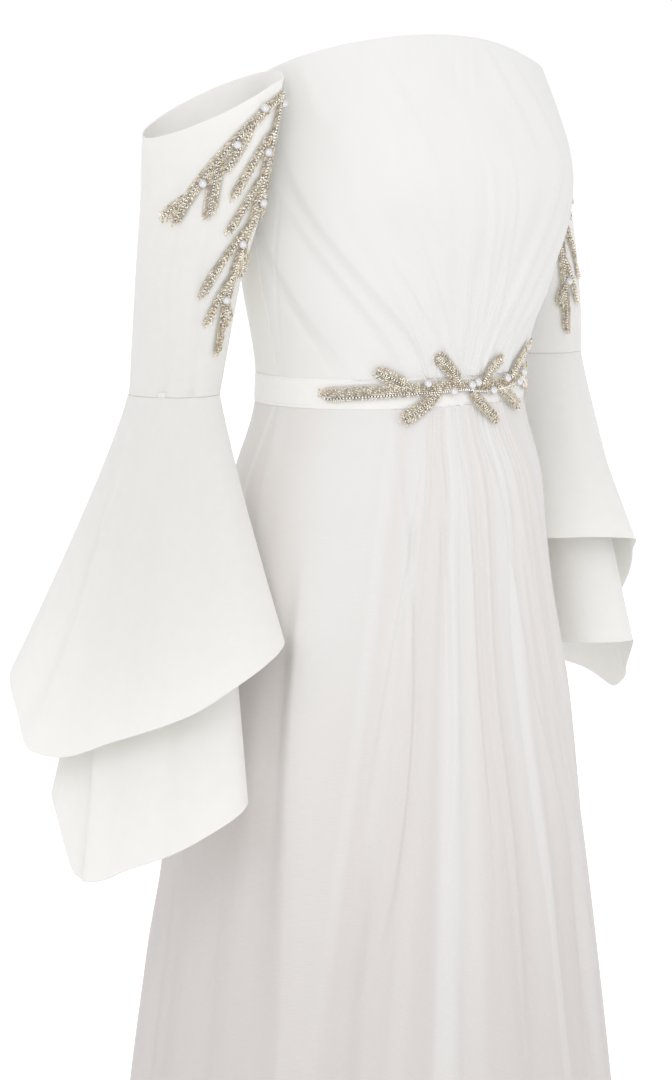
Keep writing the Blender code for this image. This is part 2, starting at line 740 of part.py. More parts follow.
def make_torso(gown):
    """Make the bodice, the waistband, the sheer skirt and the underskirt."""
    panel("bodice_front", lambda u, v: bodice_front_point(2 * u - 1, v), FAN_COLUMNS, BODICE_ROWS, WALL,
          piece_material("bodice_front", "chiffon"), gown)
    panel("skirt_front", lambda u, v: skirt_front_point(2 * u - 1, v), FAN_COLUMNS, SKIRT_ROWS, WALL,
          piece_material("skirt_front", "chiffon"), gown)
    for side_name, side in SIDES.items():
        def bodice_back(u, v, side=side):
            share = u if side > 0 else 1 - u
            bottom = BAND_HEIGHT / 2 + SEAM_GAP
            height = mix(bottom, top_edge(back_angle(side, share, bottom)), v)
            return torso_point(back_angle(side, share, height), height)

        def skirt_back(u, v, side=side):
            return skirt_back_point(side, u if side > 0 else 1 - u, v)

        panel(f"bodice_back_{side_name}", bodice_back, BODICE_BACK_COLUMNS, BODICE_BACK_ROWS, WALL,
              piece_material(f"bodice_back_{side_name}", "crepe"), gown)
        panel(f"skirt_back_{side_name}", skirt_back, SKIRT_BACK_COLUMNS, SKIRT_ROWS, WALL,
              piece_material(f"skirt_back_{side_name}", "chiffon"), gown)

    def band(u, v):
        trim = zip_trim(0)
        angle = mix(-BACK_SEAM + trim, BACK_SEAM - trim, u)
        return torso_point(angle, mix(-BAND_HEIGHT / 2, BAND_HEIGHT / 2, v), BAND_PROUD)

    panel("waistband", band, BAND_COLUMNS, 1, BAND_WALL, piece_material("waistband", "satin"), gown)

    seam = SIDE_SEAM - UNDERSKIRT_TRIM
    panel("underskirt_front", lambda u, v: underskirt_point(-seam, seam, u, v), UNDERSKIRT_COLUMNS,
          SKIRT_ROWS, WALL, piece_material("underskirt_front", "blush"), gown)
    seam = SIDE_SEAM + UNDERSKIRT_TRIM
    panel("underskirt_back", lambda u, v: underskirt_point(seam, 2 * math.pi - seam, u, v),
          UNDERSKIRT_COLUMNS, SKIRT_ROWS, WALL, piece_material("underskirt_back", "blush"), gown)


def make_sleeves(gown):
    """Make both sleeves and their two flounces."""
    for side in SIDES:
        panel(f"sleeve_{side}", lambda u, v: upper_sleeve_point(side, u, v), SLEEVE_COLUMNS,
              SLEEVE_ROWS, WALL, piece_material(f"sleeve_{side}", "crepe"), gown, tube=True)
        for name, bell in BELLS[side].items():
            panel(f"{name}_flounce_{side}", lambda u, v: flounce_point(side, bell, u, v),
                  BELL_COLUMNS, BELL_ROWS, WALL, piece_material(f"{name}_flounce_{side}", "crepe"),
                  gown, tube=True)


def make_sprigs(gown, cutters):
    """Make the beaded sprigs of the waist and both sleeves."""
    sprig("waist_sprig", WAIST_STEMS, WAIST_LEAVES, WAIST_PEARLS, wrap_on_waist, False,
          piece_material("waist_sprig", "beading"), gown, cutters)
    for side in SIDES:
        sprig(f"sleeve_sprig_{side}", SLEEVE_STEMS, SLEEVE_LEAVES, SLEEVE_PEARLS,
              lambda flat: wrap_on_sleeve(side, flat), SIDES[side] > 0,
              piece_material(f"sleeve_sprig_{side}", "beading"), gown, cutters)


def main():
    """Build the gown in an empty scene."""
    for obj in list(bpy.data.objects):
        bpy.data.objects.remove(obj)
    gown = bpy.data.collections.new("evening_gown")
    cutters = bpy.data.collections.new("cutters")
    bpy.context.scene.collection.children.link(gown)
    bpy.context.scene.collection.children.link(cutters)
    make_torso(gown)
    make_sleeves(gown)
    make_sprigs(gown, cutters)
    make_zip(gown, cutters)


main()
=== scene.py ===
"""Evening gown: fine cloth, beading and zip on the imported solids, in a white studio."""
import math
from collections import namedtuple

import bmesh
import bpy
import numpy as np
from bpy.props import FloatProperty, FloatVectorProperty, IntProperty, PointerProperty
from mathutils import Matrix, Vector


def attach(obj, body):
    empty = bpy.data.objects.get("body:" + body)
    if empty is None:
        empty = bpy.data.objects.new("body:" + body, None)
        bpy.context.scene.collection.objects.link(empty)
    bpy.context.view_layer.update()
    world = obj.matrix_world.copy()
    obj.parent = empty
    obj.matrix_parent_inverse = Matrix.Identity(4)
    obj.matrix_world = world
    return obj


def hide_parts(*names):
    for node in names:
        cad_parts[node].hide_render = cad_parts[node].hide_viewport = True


bl_info = {
    "name": "Evening Gown",
    "version": (1, 0, 0),
    "blender": (4, 5, 0),
    "location": "3D Viewport > Sidebar > Gown",
    "description": "Dresses an off-shoulder evening gown in chiffon, crepe and beading",
    "category": "Object",
}

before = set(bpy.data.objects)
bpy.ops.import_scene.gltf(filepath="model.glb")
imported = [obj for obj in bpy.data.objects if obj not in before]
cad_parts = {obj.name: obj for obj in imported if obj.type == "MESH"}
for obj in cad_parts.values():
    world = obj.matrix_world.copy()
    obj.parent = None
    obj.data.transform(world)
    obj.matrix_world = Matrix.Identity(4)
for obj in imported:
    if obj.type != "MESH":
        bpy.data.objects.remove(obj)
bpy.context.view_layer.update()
BODY = "gown"

MILLIMETRE = 0.001

# Lengths of the gown, in metres from the middle of the waistband
BAND_HEIGHT = 0.024
BAND_PROUD = 0.0009
BAND_WALL = 0.0030
BAND_SET_BACK = 0.0004
WALL = 0.0012
WELD_DISTANCE = WALL / 100
SEAM_GAP = 0.0005
SEAM_COVER = 0.8 * SEAM_GAP
SEWN_GAP = 0.00006
LAYER_GAP = 0.0004
BAND_EDGE = BAND_HEIGHT / 2 + SEAM_GAP / 5
TOP_EDGE_FRONT = 0.2905
TOP_EDGE_FALL = 0.034
TOP_EDGE_FALL_POWER = 1.5
TOP_EDGE_TILT = 0.005
TOP_EDGE_DIP = 0.013
TOP_EDGE_DIP_AT = math.radians(50)
TOP_EDGE_DIP_WIDTH = math.radians(28)
LINING_BELOW_EDGE = 0.002
LINING_BEHIND_DRAPE = 0.0006
HEM = -1.080
UNDERSKIRT_HEM = -1.050
SIDE_SEAM = math.radians(90)
BACK_SEAM = math.radians(180)
BACK_SQUARENESS = 2.0

# The waistband's face: its crown, and the pressed line along both of its edges
BAND_CROWN = 0.0007
BAND_CROWN_POWER = 4
BAND_LINE_DEPTH = 0.00045
BAND_LINE_FROM_EDGE = 0.0021
BAND_LINE_WIDTH = 0.0006

# The zip: where its tape runs in metres, and its teeth in millimetres
ZIP_FOOT = -0.180
ZIP_HEAD = 0.2205
ZIP_SEAM_OPENS = 0.01
ZIP_BEHIND_BAND = 0.0033
ZIP_BEHIND_CLOTH = 0.0016
ZIP_LEAVES_BAND = (0.016, 0.034)
TAPE_HALF_WIDTH = 11
TAPE_BEHIND_TEETH = -0.3
TEETH_BELOW_HEAD = 0.012
TEETH_PITCH = 0.75
TEETH_ASIDE = 0.45
TEETH_DEPTH = -0.9
TOOTH_SIZE = (1.9, 0.36, 0.42)

# A turned edge: the angles round its roll, the places along its flat inner side, and its reach
TURN_DEGREES = (45, 90, 135, 180)
TURN_SHARES = (0.5, 1.0)
EDGE_ROWS = len(TURN_DEGREES) + len(TURN_SHARES)
EDGE_ROLL = 0.0005
TOP_EDGE_REACH = 0.010
HEM_REACH = 0.012
HEM_LAYERS = 1.0

# Columns and rows of each cloth's mesh
Grid = namedtuple("Grid", "columns rows")
GRIDS = {
    "bodice_front": Grid(460, 96),
    "bodice_lining": Grid(120, 36),
    "bodice_back": Grid(84, 50),
    "waistband": Grid(420, 24),
    "skirt_front": Grid(500, 104),
    "skirt_back": Grid(220, 100),
    "underskirt": Grid(130, 50),
    "sleeve": Grid(164, 70),
    "elbow_seam": Grid(96, 4),
    "flounce": Grid(170, 48),
    "zip_tape": Grid(12, 89),
}
FINE_ROW = 0.003
FAN_COLUMNS = (0, 0.13, 0.87, 1)
FAN_SHARES = (-1, -0.66, 0.66, 1)

# Strips of cloth behind the seams: half width, depth behind the face, and rows
Strip = namedtuple("Strip", "half_width behind rows")
SIDE_STRIP = Strip(0.003, 0.0008, 30)
SKIRT_STRIP = Strip(0.0035, 0.0005, 70)
WAIST_STRIP = Strip(0.004, 0.0006, 9)
ELBOW_STRIP = Strip(0.004, 0.0007, 4)
STRIP_COLUMNS = 5
WAIST_STRIP_COLUMNS = 181

# Round the body: half width, depth in front and behind, and how square the front corners are
Section = namedtuple("Section", "height half_width front back squareness")
TORSO = [
    Section(-1.080, 0.256, 0.222, 0.298, 2.0),
    Section(-0.589, 0.203, 0.166, 0.230, 2.0),
    Section(-0.400, 0.182, 0.148, 0.197, 2.0),
    Section(-0.300, 0.172, 0.135, 0.174, 2.0),
    Section(-0.215, 0.161, 0.125, 0.152, 2.0),
    Section(-0.128, 0.148, 0.120, 0.128, 2.0),
    Section(-0.075, 0.139, 0.115, 0.112, 2.1),
    Section(-0.030, 0.126, 0.101, 0.100, 2.2),
    Section(0.000, 0.121, 0.097, 0.097, 2.2),
    Section(0.030, 0.124, 0.101, 0.097, 2.2),
    Section(0.090, 0.139, 0.121, 0.098, 2.3),
    Section(0.160, 0.148, 0.141, 0.099, 2.5),
    Section(0.220, 0.1435, 0.129, 0.098, 2.4),
    Section(0.310, 0.124, 0.088, 0.093, 2.2),
]
WAIST = next(row for row in TORSO if row.height == 0)

# How the draped columns of a front panel fan out of the centre gathers, in degrees each side
Fan = namedtuple("Fan", "share at_waist spread")
BODICE_FAN = [Fan(0.0, 0, 0), Fan(0.643, 22, 66), Fan(1.0, 90, 90)]
SKIRT_FAN = [Fan(0.0, 0, 0), Fan(0.643, 24, 58), Fan(1.0, 90, 90)]
FAN_FADE = 0.06
GATHERS = 14
BODICE_FAN_HEIGHT = 0.170
BODICE_FAN_SOFTNESS = 4
SKIRT_FAN_HEIGHT = 0.675
SKIRT_FAN_EASE = 0.7
SIDE_FADE = 0.08
GATHER_WEIGHTS = (0.9, 1.2, 0.7, 1.0, 1.25, 0.8, 1.1, 0.75)
Depth = namedtuple("Depth", "height gathers side_folds", defaults=(0.0,))
BODICE_DEPTHS = [
    Depth(0.000, 0.0014),
    Depth(0.040, 0.0021),
    Depth(0.110, 0.0030),
    Depth(0.190, 0.0012),
    Depth(0.250, 0.0002),
    Depth(0.310, 0.0000),
]
SKIRT_DEPTHS = [
    Depth(-1.080, 0.0130, 0.0140),
    Depth(-0.600, 0.0090, 0.0085),
    Depth(-0.300, 0.0070, 0.0020),
    Depth(-0.100, 0.0050, 0.0002),
    Depth(-0.040, 0.0021, 0.0000),
    Depth(0.000, 0.0014, 0.0000),
]
SKIRT_ROW_CROWDING = 1.7
BACK_FOLDS = 4
UNDERSKIRT_FOLDS = 5
UNDERSKIRT_FOLD_DEPTH = 0.006
UNDERSKIRT_EASE = 0.022
UNDERSKIRT_TRIM = math.radians(0.15)
BODICE_GATHER_SHARE = 0.45
SKIRT_GATHER_SHARE = 0.26
SKIRT_SIDE_SHARE = 0.7

# Fine pleats in the gathers: their random seed and count, and their ranges of size
Pleats = namedtuple("Pleats", "seed count width depth length")
BODICE_PLEATS = Pleats(11, 40, (0.006, 0.014), (0.0002, 0.0008), (0.04, 0.20))
SKIRT_PLEATS = Pleats(23, 30, (0.009, 0.026), (0.0003, 0.0010), (0.06, 0.50))
PLEAT_STRAY = 0.42
PLEAT_LEAN = 0.5
PLEAT_SLANT = 0.4
PLEAT_REACH = 4
PLEAT_ROUND = 1.5
PLEAT_FADE = 0.8

# Soft unevenness: its random seed, its depth and how many swells lie across and up a panel
Unevenness = namedtuple("Unevenness", "seed depth across up")
BODICE_UNEVEN = Unevenness(5, 0.0004, 16, 8)
BAND_UNEVEN = Unevenness(9, 0.00025, 60, 3)
SKIRT_UNEVEN = Unevenness(6, 0.0015, 20, 5)
SKIRT_BACK_UNEVEN = {"right": Unevenness(6, 0.0015, 12, 5), "left": Unevenness(8, 0.0015, 12, 5)}

# Where creases begin to show near the waist: their least share of depth, and the distances
# from the waist between which they grow to all of it
Calm = namedtuple("Calm", "least begins ends")
BODICE_CALM = Calm(0.45, 0.015, 0.070)
SKIRT_CALM = Calm(0.25, 0.020, 0.130)
SKIRT_BACK_CALM = Calm(0.0, 0.012, 0.07)
BODICE_SIDE_FADE = 0.03
BODICE_BACK_SIDE_FADE = 0.06
SKIRT_EDGE_FADE = 0.05
TOP_EDGE_CALM = 0.7
TOP_EDGE_CALM_FROM = 0.90

# Sleeve rings: distance of the centre out from the middle, back from it, and the half sizes
Ring = namedtuple("Ring", "height out back half_across half_along")
SLEEVE_RINGS = {
    "right": [
        Ring(0.000, 0.2000, 0.040, 0.037, 0.039),
        Ring(0.060, 0.1960, 0.033, 0.039, 0.044),
        Ring(0.100, 0.1940, 0.027, 0.040, 0.049),
        Ring(0.160, 0.1905, 0.015, 0.042, 0.060),
        Ring(0.270, 0.1860, 0.004, 0.047, 0.068),
    ],
    "left": [
        Ring(0.000, 0.2050, 0.028, 0.037, 0.039),
        Ring(0.060, 0.1980, 0.026, 0.038, 0.043),
        Ring(0.130, 0.1880, 0.032, 0.039, 0.050),
        Ring(0.200, 0.1780, 0.047, 0.042, 0.058),
        Ring(0.270, 0.1680, 0.062, 0.046, 0.064),
    ],
}
SIDES = {"right": -1, "left": 1}
SLEEVE_LIFT = {"right": 0.000, "left": 0.016}
OPENING_MIDDLE = 0.236
OPENING_SLOPE_IN = 0.52
OPENING_SLOPE_FRONT = 0.17
BODICE_CLEARANCE = 0.0009
SKIRT_CLEARANCE = 0.005

# Bell flounces: hem oval, and the drop of each hem round the arm from the outer side to the front
Bell = namedtuple("Bell", "out back half_long half_short layers_inside")
BELLS = {
    "right": {"upper": Bell(0.240, 0.028, 0.1155, 0.070, 0),
              "lower": Bell(0.252, 0.010, 0.083, 0.045, 1)},
    "left": {"upper": Bell(0.238, 0.038, 0.1100, 0.068, 0),
             "lower": Bell(0.250, 0.018, 0.083, 0.045, 1)},
}
BELL_TURN = math.radians(-58.5)
BELL_FLARE = 1.12
BELL_SQUARENESS = 2.3
FLOUNCE_FOLDS_BY = 0.45
FLOUNCE_FOLD_ROOM = 0.012
Hem = namedtuple("Hem", "degrees upper lower")
FLOUNCE_HEMS = {
    "right": [
        Hem(-135, 0.200, 0.310),
        Hem(-90, 0.205, 0.310),
        Hem(-45, 0.235, 0.330),
        Hem(-22, 0.286, 0.386),
        Hem(30, 0.270, 0.376),
        Hem(75, 0.248, 0.360),
        Hem(115, 0.206, 0.332),
        Hem(170, 0.190, 0.315),
        Hem(225, 0.200, 0.310),
    ],
    "left": [
        Hem(-135, 0.180, 0.270),
        Hem(-90, 0.190, 0.280),
        Hem(-45, 0.222, 0.300),
        Hem(-10, 0.237, 0.313),
        Hem(30, 0.208, 0.285),
        Hem(60, 0.178, 0.264),
        Hem(90, 0.163, 0.256),
        Hem(130, 0.158, 0.254),
        Hem(180, 0.168, 0.260),
        Hem(225, 0.180, 0.270),
    ],
}

# Creases: the heights or shares where each starts, bends and ends, and its angles there in degrees.
# A lean over 1 makes the side towards larger angles that many times wider, and one under -1 the
# other side.
Crease = namedtuple(
    "Crease", "start_at start_degrees mid_at mid_degrees end_at end_degrees depth width lean",
    defaults=(1.0,))
CREASE_LEAD = 0.12
CREASE_FADES_FROM = 0.55
HOLLOW_DEPTH = 0.32
HOLLOW_PLACE = 2.0
HOLLOW_WIDTH = 1.1
BODICE_CREASES = [
    Crease(0.000, -89.9, 0.052, -86, 0.190, -75, -0.0007, 0.8),
    Crease(0.000, 89.9, 0.052, 86, 0.190, 75, -0.0007, 0.8),
    Crease(0.012, -54, 0.061, -69, 0.155, -89, 0.0028, 3.0, 4.0),
    Crease(0.012, -60, 0.040, -68, 0.090, -79, 0.0011, 1.6, 2.0),
    Crease(0.026, -35, 0.098, -57, 0.180, -80, 0.0022, 2.7, 3.6),
    Crease(0.020, -20, 0.098, -49, 0.225, -79, 0.0029, 3.0, 4.0),
    Crease(0.020, -8, 0.075, -29, 0.150, -47, 0.0013, 1.6, 3.0),
    Crease(0.016, -2, 0.092, -23, 0.185, -37, 0.0016, 1.6, 3.0),
    Crease(0.016, 3, 0.097, -16, 0.165, -31, 0.0014, 1.4, 2.4),
    Crease(0.016, 8, 0.115, -2, 0.228, -8, 0.0013, 1.2, 1.6),
    Crease(0.016, 13, 0.100, 3, 0.190, 0, 0.0009, 1.2, 1.4),
    Crease(0.016, 17, 0.115, 7, 0.222, 4, 0.0012, 1.2, -1.8),
    Crease(0.016, 20, 0.103, 22, 0.205, 36, 0.0015, 1.5, -2.6),
    Crease(0.016, 25, 0.100, 31, 0.190, 48, 0.0016, 1.6, -2.8),
    Crease(0.016, 30, 0.092, 41, 0.180, 61, 0.0018, 1.8, -3.2),
    Crease(0.016, 38, 0.086, 53, 0.170, 78, 0.0022, 2.7, -3.4),
    Crease(0.012, 54, 0.060, 69, 0.155, 89, 0.0026, 3.0, -4.0),
    Crease(0.292, -59, 0.245, -47, 0.180, -37, 0.0013, 2.6, -2.2),
    Crease(0.284, -49, 0.222, -34, 0.150, -26, 0.0012, 2.2, -2.2),
    Crease(0.280, -77, 0.255, -71, 0.205, -60, 0.0010, 3.0),
    Crease(0.288, 3, 0.262, -4, 0.226, -7, 0.0006, 1.6, 2.0),
    Crease(0.288, -8, 0.268, -12, 0.240, -14, -0.0006, 1.8),
    Crease(0.280, 8, 0.235, 13, 0.170, 18, 0.0009, 2.2, -2.0),
    Crease(0.268, 22, 0.222, 28, 0.160, 34, 0.0008, 2.2, -2.0),
]
BACK_CREASES = [
    Crease(0.013, 132, 0.070, 136, 0.180, 142, -0.0008, 5.0),
    Crease(0.013, 112, 0.060, 108, 0.150, 102, 0.0008, 5.0),
    Crease(0.013, 158, 0.050, 154, 0.120, 150, 0.0006, 4.0),
]
# Soft rounded forms under the drape: the middle of each, its depth and its half sizes
Swell = namedtuple("Swell", "degrees height depth half_degrees half_height")
BODICE_SWELLS = [
    Swell(-45, 0.196, 0.0045, 24, 0.048),
    Swell(42, 0.194, 0.0012, 22, 0.048),
    Swell(-33, 0.138, -0.0032, 17, 0.030),
    Swell(33, 0.138, -0.0030, 17, 0.030),
    Swell(0, 0.190, 0.0015, 16, 0.060),
]
SKIRT_CREASES = [
    Crease(0.013, -41, 0.142, -35, 0.580, -60, 0.0034, 1.3, -3.0),
    Crease(0.013, -25, 0.110, -34, 0.420, -53, 0.0022, 1.1, -2.6),
    Crease(0.013, -23, 0.132, -18, 0.440, -26, 0.0030, 1.2, 2.4),
    Crease(0.013, -11, 0.160, -8, 0.520, -10, 0.0020, 1.1, -2.0),
    Crease(0.013, -1, 0.170, 0, 0.640, 5, 0.0030, 1.2, 2.2),
    Crease(0.013, 3, 0.228, 20, 0.620, 60, 0.0030, 1.5, -2.6),
    Crease(0.013, 12, 0.180, 30, 0.480, 56, 0.0024, 1.4, 2.6),
    Crease(0.013, 24, 0.150, 42, 0.420, 70, 0.0026, 1.6, 2.8),
    Crease(0.013, -47, 0.182, -48, 0.520, -56, 0.0016, 3.0, -2.0),
    Crease(0.260, -70, 0.400, -69.5, 1.500, -73, 0.0095, 2.6, 3.8),
    Crease(0.330, -79, 0.460, -78, 1.500, -80, -0.0042, 3.0),
    Crease(0.280, 72, 0.420, 75, 1.500, 77, 0.0070, 2.6, -3.6),
    Crease(0.330, 82, 0.460, 83, 1.500, 84, -0.0036, 3.0),
    Crease(0.420, -46, 0.700, -50, 1.400, -53, 0.0052, 3.4, 2.2),
    Crease(0.500, -24, 0.760, -27, 1.400, -30, 0.0046, 3.2, -2.0),
    Crease(0.380, -4, 0.700, -5, 1.400, -7, 0.0050, 3.4, 2.0),
    Crease(0.460, 18, 0.720, 20, 1.400, 22, 0.0046, 3.2, -2.2),
    Crease(0.420, 44, 0.700, 46, 1.400, 49, 0.0050, 3.2, 2.2),
]
SKIRT_BACK_CREASES = [
    Crease(0.400, 109, 0.560, 112, 1.250, 117, 0.0050, 2.8),
    Crease(0.013, 128, 0.250, 131, 0.700, 134, 0.0026, 3.2),
    Crease(0.013, 152, 0.250, 150, 0.700, 149, 0.0026, 3.2),
    Crease(0.013, 168, 0.200, 166, 0.500, 165, -0.0020, 3.0),
    Crease(0.013, 174, 0.250, 171, 0.760, 170, 0.0030, 2.4, -2.0),
    Crease(0.013, 143, 0.200, 143, 0.620, 141, 0.0026, 2.2, 2.4),
    Crease(0.013, 118, 0.220, 121, 0.640, 124, 0.0024, 2.2, -2.2),
    Crease(0.450, 161, 0.700, 160, 1.400, 159, 0.0056, 3.6, 2.0),
    Crease(0.500, 137, 0.760, 137, 1.400, 136, 0.0050, 3.4, -2.0),
]
SLEEVE_CREASES = {
    "right": [
        Crease(0.290, 121, 0.180, 108, 0.040, 129, 0.0034, 9.0),
        Crease(0.012, 34, 0.096, 27, 0.230, 14, -0.0017, 8.0),
        Crease(0.012, 71, 0.064, 64, 0.190, 50, -0.0015, 7.0),
        Crease(0.010, -40, 0.070, -30, 0.160, -34, -0.0012, 9.0),
        Crease(0.020, -120, 0.110, -112, 0.230, -120, -0.0017, 10.0),
    ],
    "left": [
        Crease(0.290, 120, 0.170, 112, 0.030, 126, 0.0028, 9.0),
        Crease(0.028, 36, 0.110, 28, 0.230, 18, -0.0015, 8.0),
        Crease(0.028, 76, 0.080, 68, 0.190, 56, -0.0013, 7.0),
        Crease(0.026, -46, 0.080, -36, 0.170, -38, -0.0012, 9.0),
        Crease(0.030, -120, 0.110, -112, 0.230, -120, -0.0015, 10.0),
    ],
}
FLOUNCE_CREASES = {
    ("right", "upper"): [
        Crease(0.00, -26, 0.30, -18, 1.00, -10, 0.0056, 4.6, 2.4),
        Crease(0.00, 96, 0.28, 98, 0.95, 97, 0.0032, 11.0),
        Crease(0.00, 30, 0.25, 32, 0.80, 36, -0.0030, 16.0),
        Crease(0.00, 160, 0.30, 158, 0.90, 156, -0.0042, 15.0),
        Crease(0.00, -95, 0.30, -92, 0.90, -90, 0.0042, 14.0),
    ],
    ("right", "lower"): [
        Crease(0.00, -12, 0.14, -13, 0.80, -18, 0.0075, 3.6, 3.0),
        Crease(0.00, -32, 0.14, -32, 0.80, -30, -0.0040, 9.0),
        Crease(0.00, 60, 0.20, 62, 0.70, 66, -0.0024, 14.0),
        Crease(0.00, 150, 0.20, 150, 0.70, 150, -0.0030, 14.0),
    ],
    ("left", "upper"): [
        Crease(0.00, 60, 0.25, 64, 0.85, 70, -0.0030, 12.0),
        Crease(0.00, 118, 0.30, 116, 0.90, 112, 0.0032, 11.0),
        Crease(0.00, -60, 0.30, -58, 0.90, -56, 0.0042, 14.0),
        Crease(0.00, 170, 0.30, 168, 0.90, 166, -0.0042, 15.0),
    ],
    ("left", "lower"): [
        Crease(0.00, 80, 0.20, 80, 0.70, 82, -0.0024, 13.0),
        Crease(0.00, 10, 0.20, 12, 0.70, 14, 0.0032, 8.0),
        Crease(0.00, 160, 0.20, 160, 0.70, 160, -0.0030, 14.0),
    ],
}

# Folds of doubled chiffon in the skirt front: shares across the fan, and the heights where they end
Band = namedtuple("Band", "share half_share top foot strength edge")
SKIRT_BANDS = [
    Band(-0.985, 0.018, 0.00, -0.34, 0.60, 0.018),
    Band(-0.800, 0.085, 0.00, -0.50, 0.60, 0.050),
    Band(-0.712, 0.012, 0.00, -0.60, 0.40, 0.008),
    Band(-0.622, 0.046, 0.00, -0.50, 0.50, 0.018),
    Band(-0.245, 0.105, 0.00, -0.78, 0.46, 0.036),
    Band(-0.300, 0.046, 0.00, -0.95, 0.36, 0.016),
    Band(-0.120, 0.040, 0.00, -0.34, 0.36, 0.018),
    Band(-0.015, 0.020, 0.00, -0.45, 0.22, 0.014),
    Band(0.205, 0.080, 0.00, -0.66, 0.42, 0.030),
    Band(0.370, 0.060, 0.00, -0.45, 0.36, 0.026),
    Band(0.250, 0.028, 0.00, -0.90, 0.34, 0.014),
    Band(0.720, 0.030, 0.00, -0.50, 0.36, 0.018),
    Band(0.860, 0.060, 0.00, -0.42, 0.40, 0.040),
    Band(-0.480, 0.030, -0.20, -1.08, 0.14, 0.024),
    Band(-0.760, 0.045, -0.30, -1.08, 0.16, 0.030),
    Band(0.520, 0.030, -0.20, -1.08, 0.14, 0.024),
    Band(0.720, 0.040, -0.30, -1.08, 0.18, 0.030),
]
BAND_FADE = 0.45
BAND_TOP_FADE = (-0.12, 0.02)
WAIST_LAYERS = 0.50
WAIST_LAYERS_FROM = (-0.72, 0.05)
SKIRT_BACK_LAYERS = [
    Crease(0.012, 92, 0.050, 97, 0.160, 103, 0.9, 1.3),
    Crease(0.012, 140, 0.300, 146, 0.900, 150, 0.5, 2.4),
]
# Depths below the waist over which the painted shade on the lining seen through the chiffon grows
# from none to all
LINING_SHADE_SPAN = (0.10, 0.62)

# Beaded sprigs, laid out flat in millimetres before they are wrapped on the cloth
Stem = namedtuple("Stem", "x y heading length bend")
Leaf = namedtuple("Leaf", "stem share turn length bend")
Pearl = namedtuple("Pearl", "stem share aside")
WAIST_STEMS = [
    Stem(4, 4, 178, 134, 8),
    Stem(-6, 4, -6, 104, 22),
]
WAIST_LEAVES = [
    Leaf(0, 0.10, -48, 40, 14),
    Leaf(0, 0.26, 44, 46, -18),
    Leaf(0, 0.50, -38, 30, 10),
    Leaf(1, 0.06, -46, 44, 16),
    Leaf(1, 0.20, 52, 34, -14),
    Leaf(1, 0.44, -42, 38, 12),
    Leaf(1, 0.62, 46, 44, -20),
    Leaf(1, 0.80, -40, 26, 10),
]
WAIST_PEARLS = [
    Pearl(0, 0.18, 4),
    Pearl(0, 0.38, -4),
    Pearl(0, 0.02, -1),
    Pearl(1, 0.14, 4),
    Pearl(1, 0.34, -4),
    Pearl(1, 0.54, 4),
    Pearl(1, 0.74, -4),
    Pearl(1, 0.84, 2),
]
SLEEVE_STEMS = [
    Stem(14, -9, -100, 206, 12),
    Stem(16, -13, 186, 112, 58),
]
SLEEVE_LEAVES = [
    Leaf(0, 0.14, -44, 52, 20),
    Leaf(0, 0.30, -40, 44, 18),
    Leaf(0, 0.36, 38, 30, -14),
    Leaf(0, 0.48, -42, 56, 20),
    Leaf(0, 0.60, 36, 26, -12),
    Leaf(0, 0.68, -38, 38, 16),
    Leaf(0, 0.82, 34, 20, -10),
    Leaf(1, 0.30, 40, 34, -16),
    Leaf(1, 0.55, 42, 46, 14),
    Leaf(1, 0.82, -36, 24, 10),
]
SLEEVE_PEARLS = [
    Pearl(0, 0.05, 4),
    Pearl(0, 0.22, -4),
    Pearl(0, 0.42, 4),
    Pearl(0, 0.56, -4),
    Pearl(0, 0.78, -4),
    Pearl(1, 0.20, -4),
    Pearl(1, 0.44, 4),
    Pearl(1, 0.72, 4),
]
Sprig = namedtuple("Sprig", "stems leaves pearls chain_asides")
WAIST_SPRIG = Sprig(WAIST_STEMS, WAIST_LEAVES, WAIST_PEARLS, (0.72, -0.72))
SLEEVE_SPRIG = Sprig(SLEEVE_STEMS, SLEEVE_LEAVES, SLEEVE_PEARLS, (0.0, 0.0))
SPRIG_SEEDS = {"waist_sprig": 70, "sleeve_sprig_right": 72, "sleeve_sprig_left": 79}

# How an arm of a sprig widens and where its beads, crystals, seeds and net lie, in millimetres
ARM_HALF_WIDTH = 5.8
ARM_BASE_SHARE = 0.72
ARM_WIDENS_BY = 0.3
ARM_STEPS = 240
TIP_ROUND = 7.0
TIP_OVERRUN = 1.0
TIP_BARE = 1.2
PEARL_RADIUS = 3.5
PEARL_HEIGHT = 2.0
STEM_BEGINS = 0.8
LEAF_BEGINS = 4.0
CHAIN_HALF_WIDTH = 0.9
ROW_STRAY = 0.3
ROW_BEADS = 5
LAST_BEAD_SHARE = 0.45
BEAD_TURN = 0.12
BEAD_HEIGHT = 1.25
BEAD_HEIGHT_FALL = 0.22
BEAD_HEIGHT_STRAY = 0.12
BEAD_SIZES = (0.88, 1.08)
BEAD_FIT = 0.98
BEADS_FROM_PEARL = 0.9
CHAIN_FROM_PEARL = 0.6
CRYSTAL_HEIGHTS = (1.45, 1.55)
CRYSTAL_RADII = (1.05, 0.62)
# Bright crystals' tones reach the painted white glint; the small links between them take near-black
# painted shade
CRYSTAL_TONES = ((0.6, 1), (0, 0.12))
CRYSTAL_TURNS = (0, 3)
Seeds = namedtuple("Seeds", "ring_radius radius height count")
TIP_SEEDS = Seeds(1.45, 0.5, 0.55, 8)
TIP_SEEDS_PAST = 1.6
PEARL_SEEDS = Seeds(PEARL_RADIUS + 0.55, 0.62, 0.85, 0)
# The net reaches this far past the beads, and its grey margin is painted shade along the arms
NET_MARGIN = 0.9
NET_COLUMNS = 5
NET_ROW_PITCH = 4
NET_LEAST_ROWS = 6
NET_TIP_SHARE = 0.55
NET_HEIGHT = 0.1

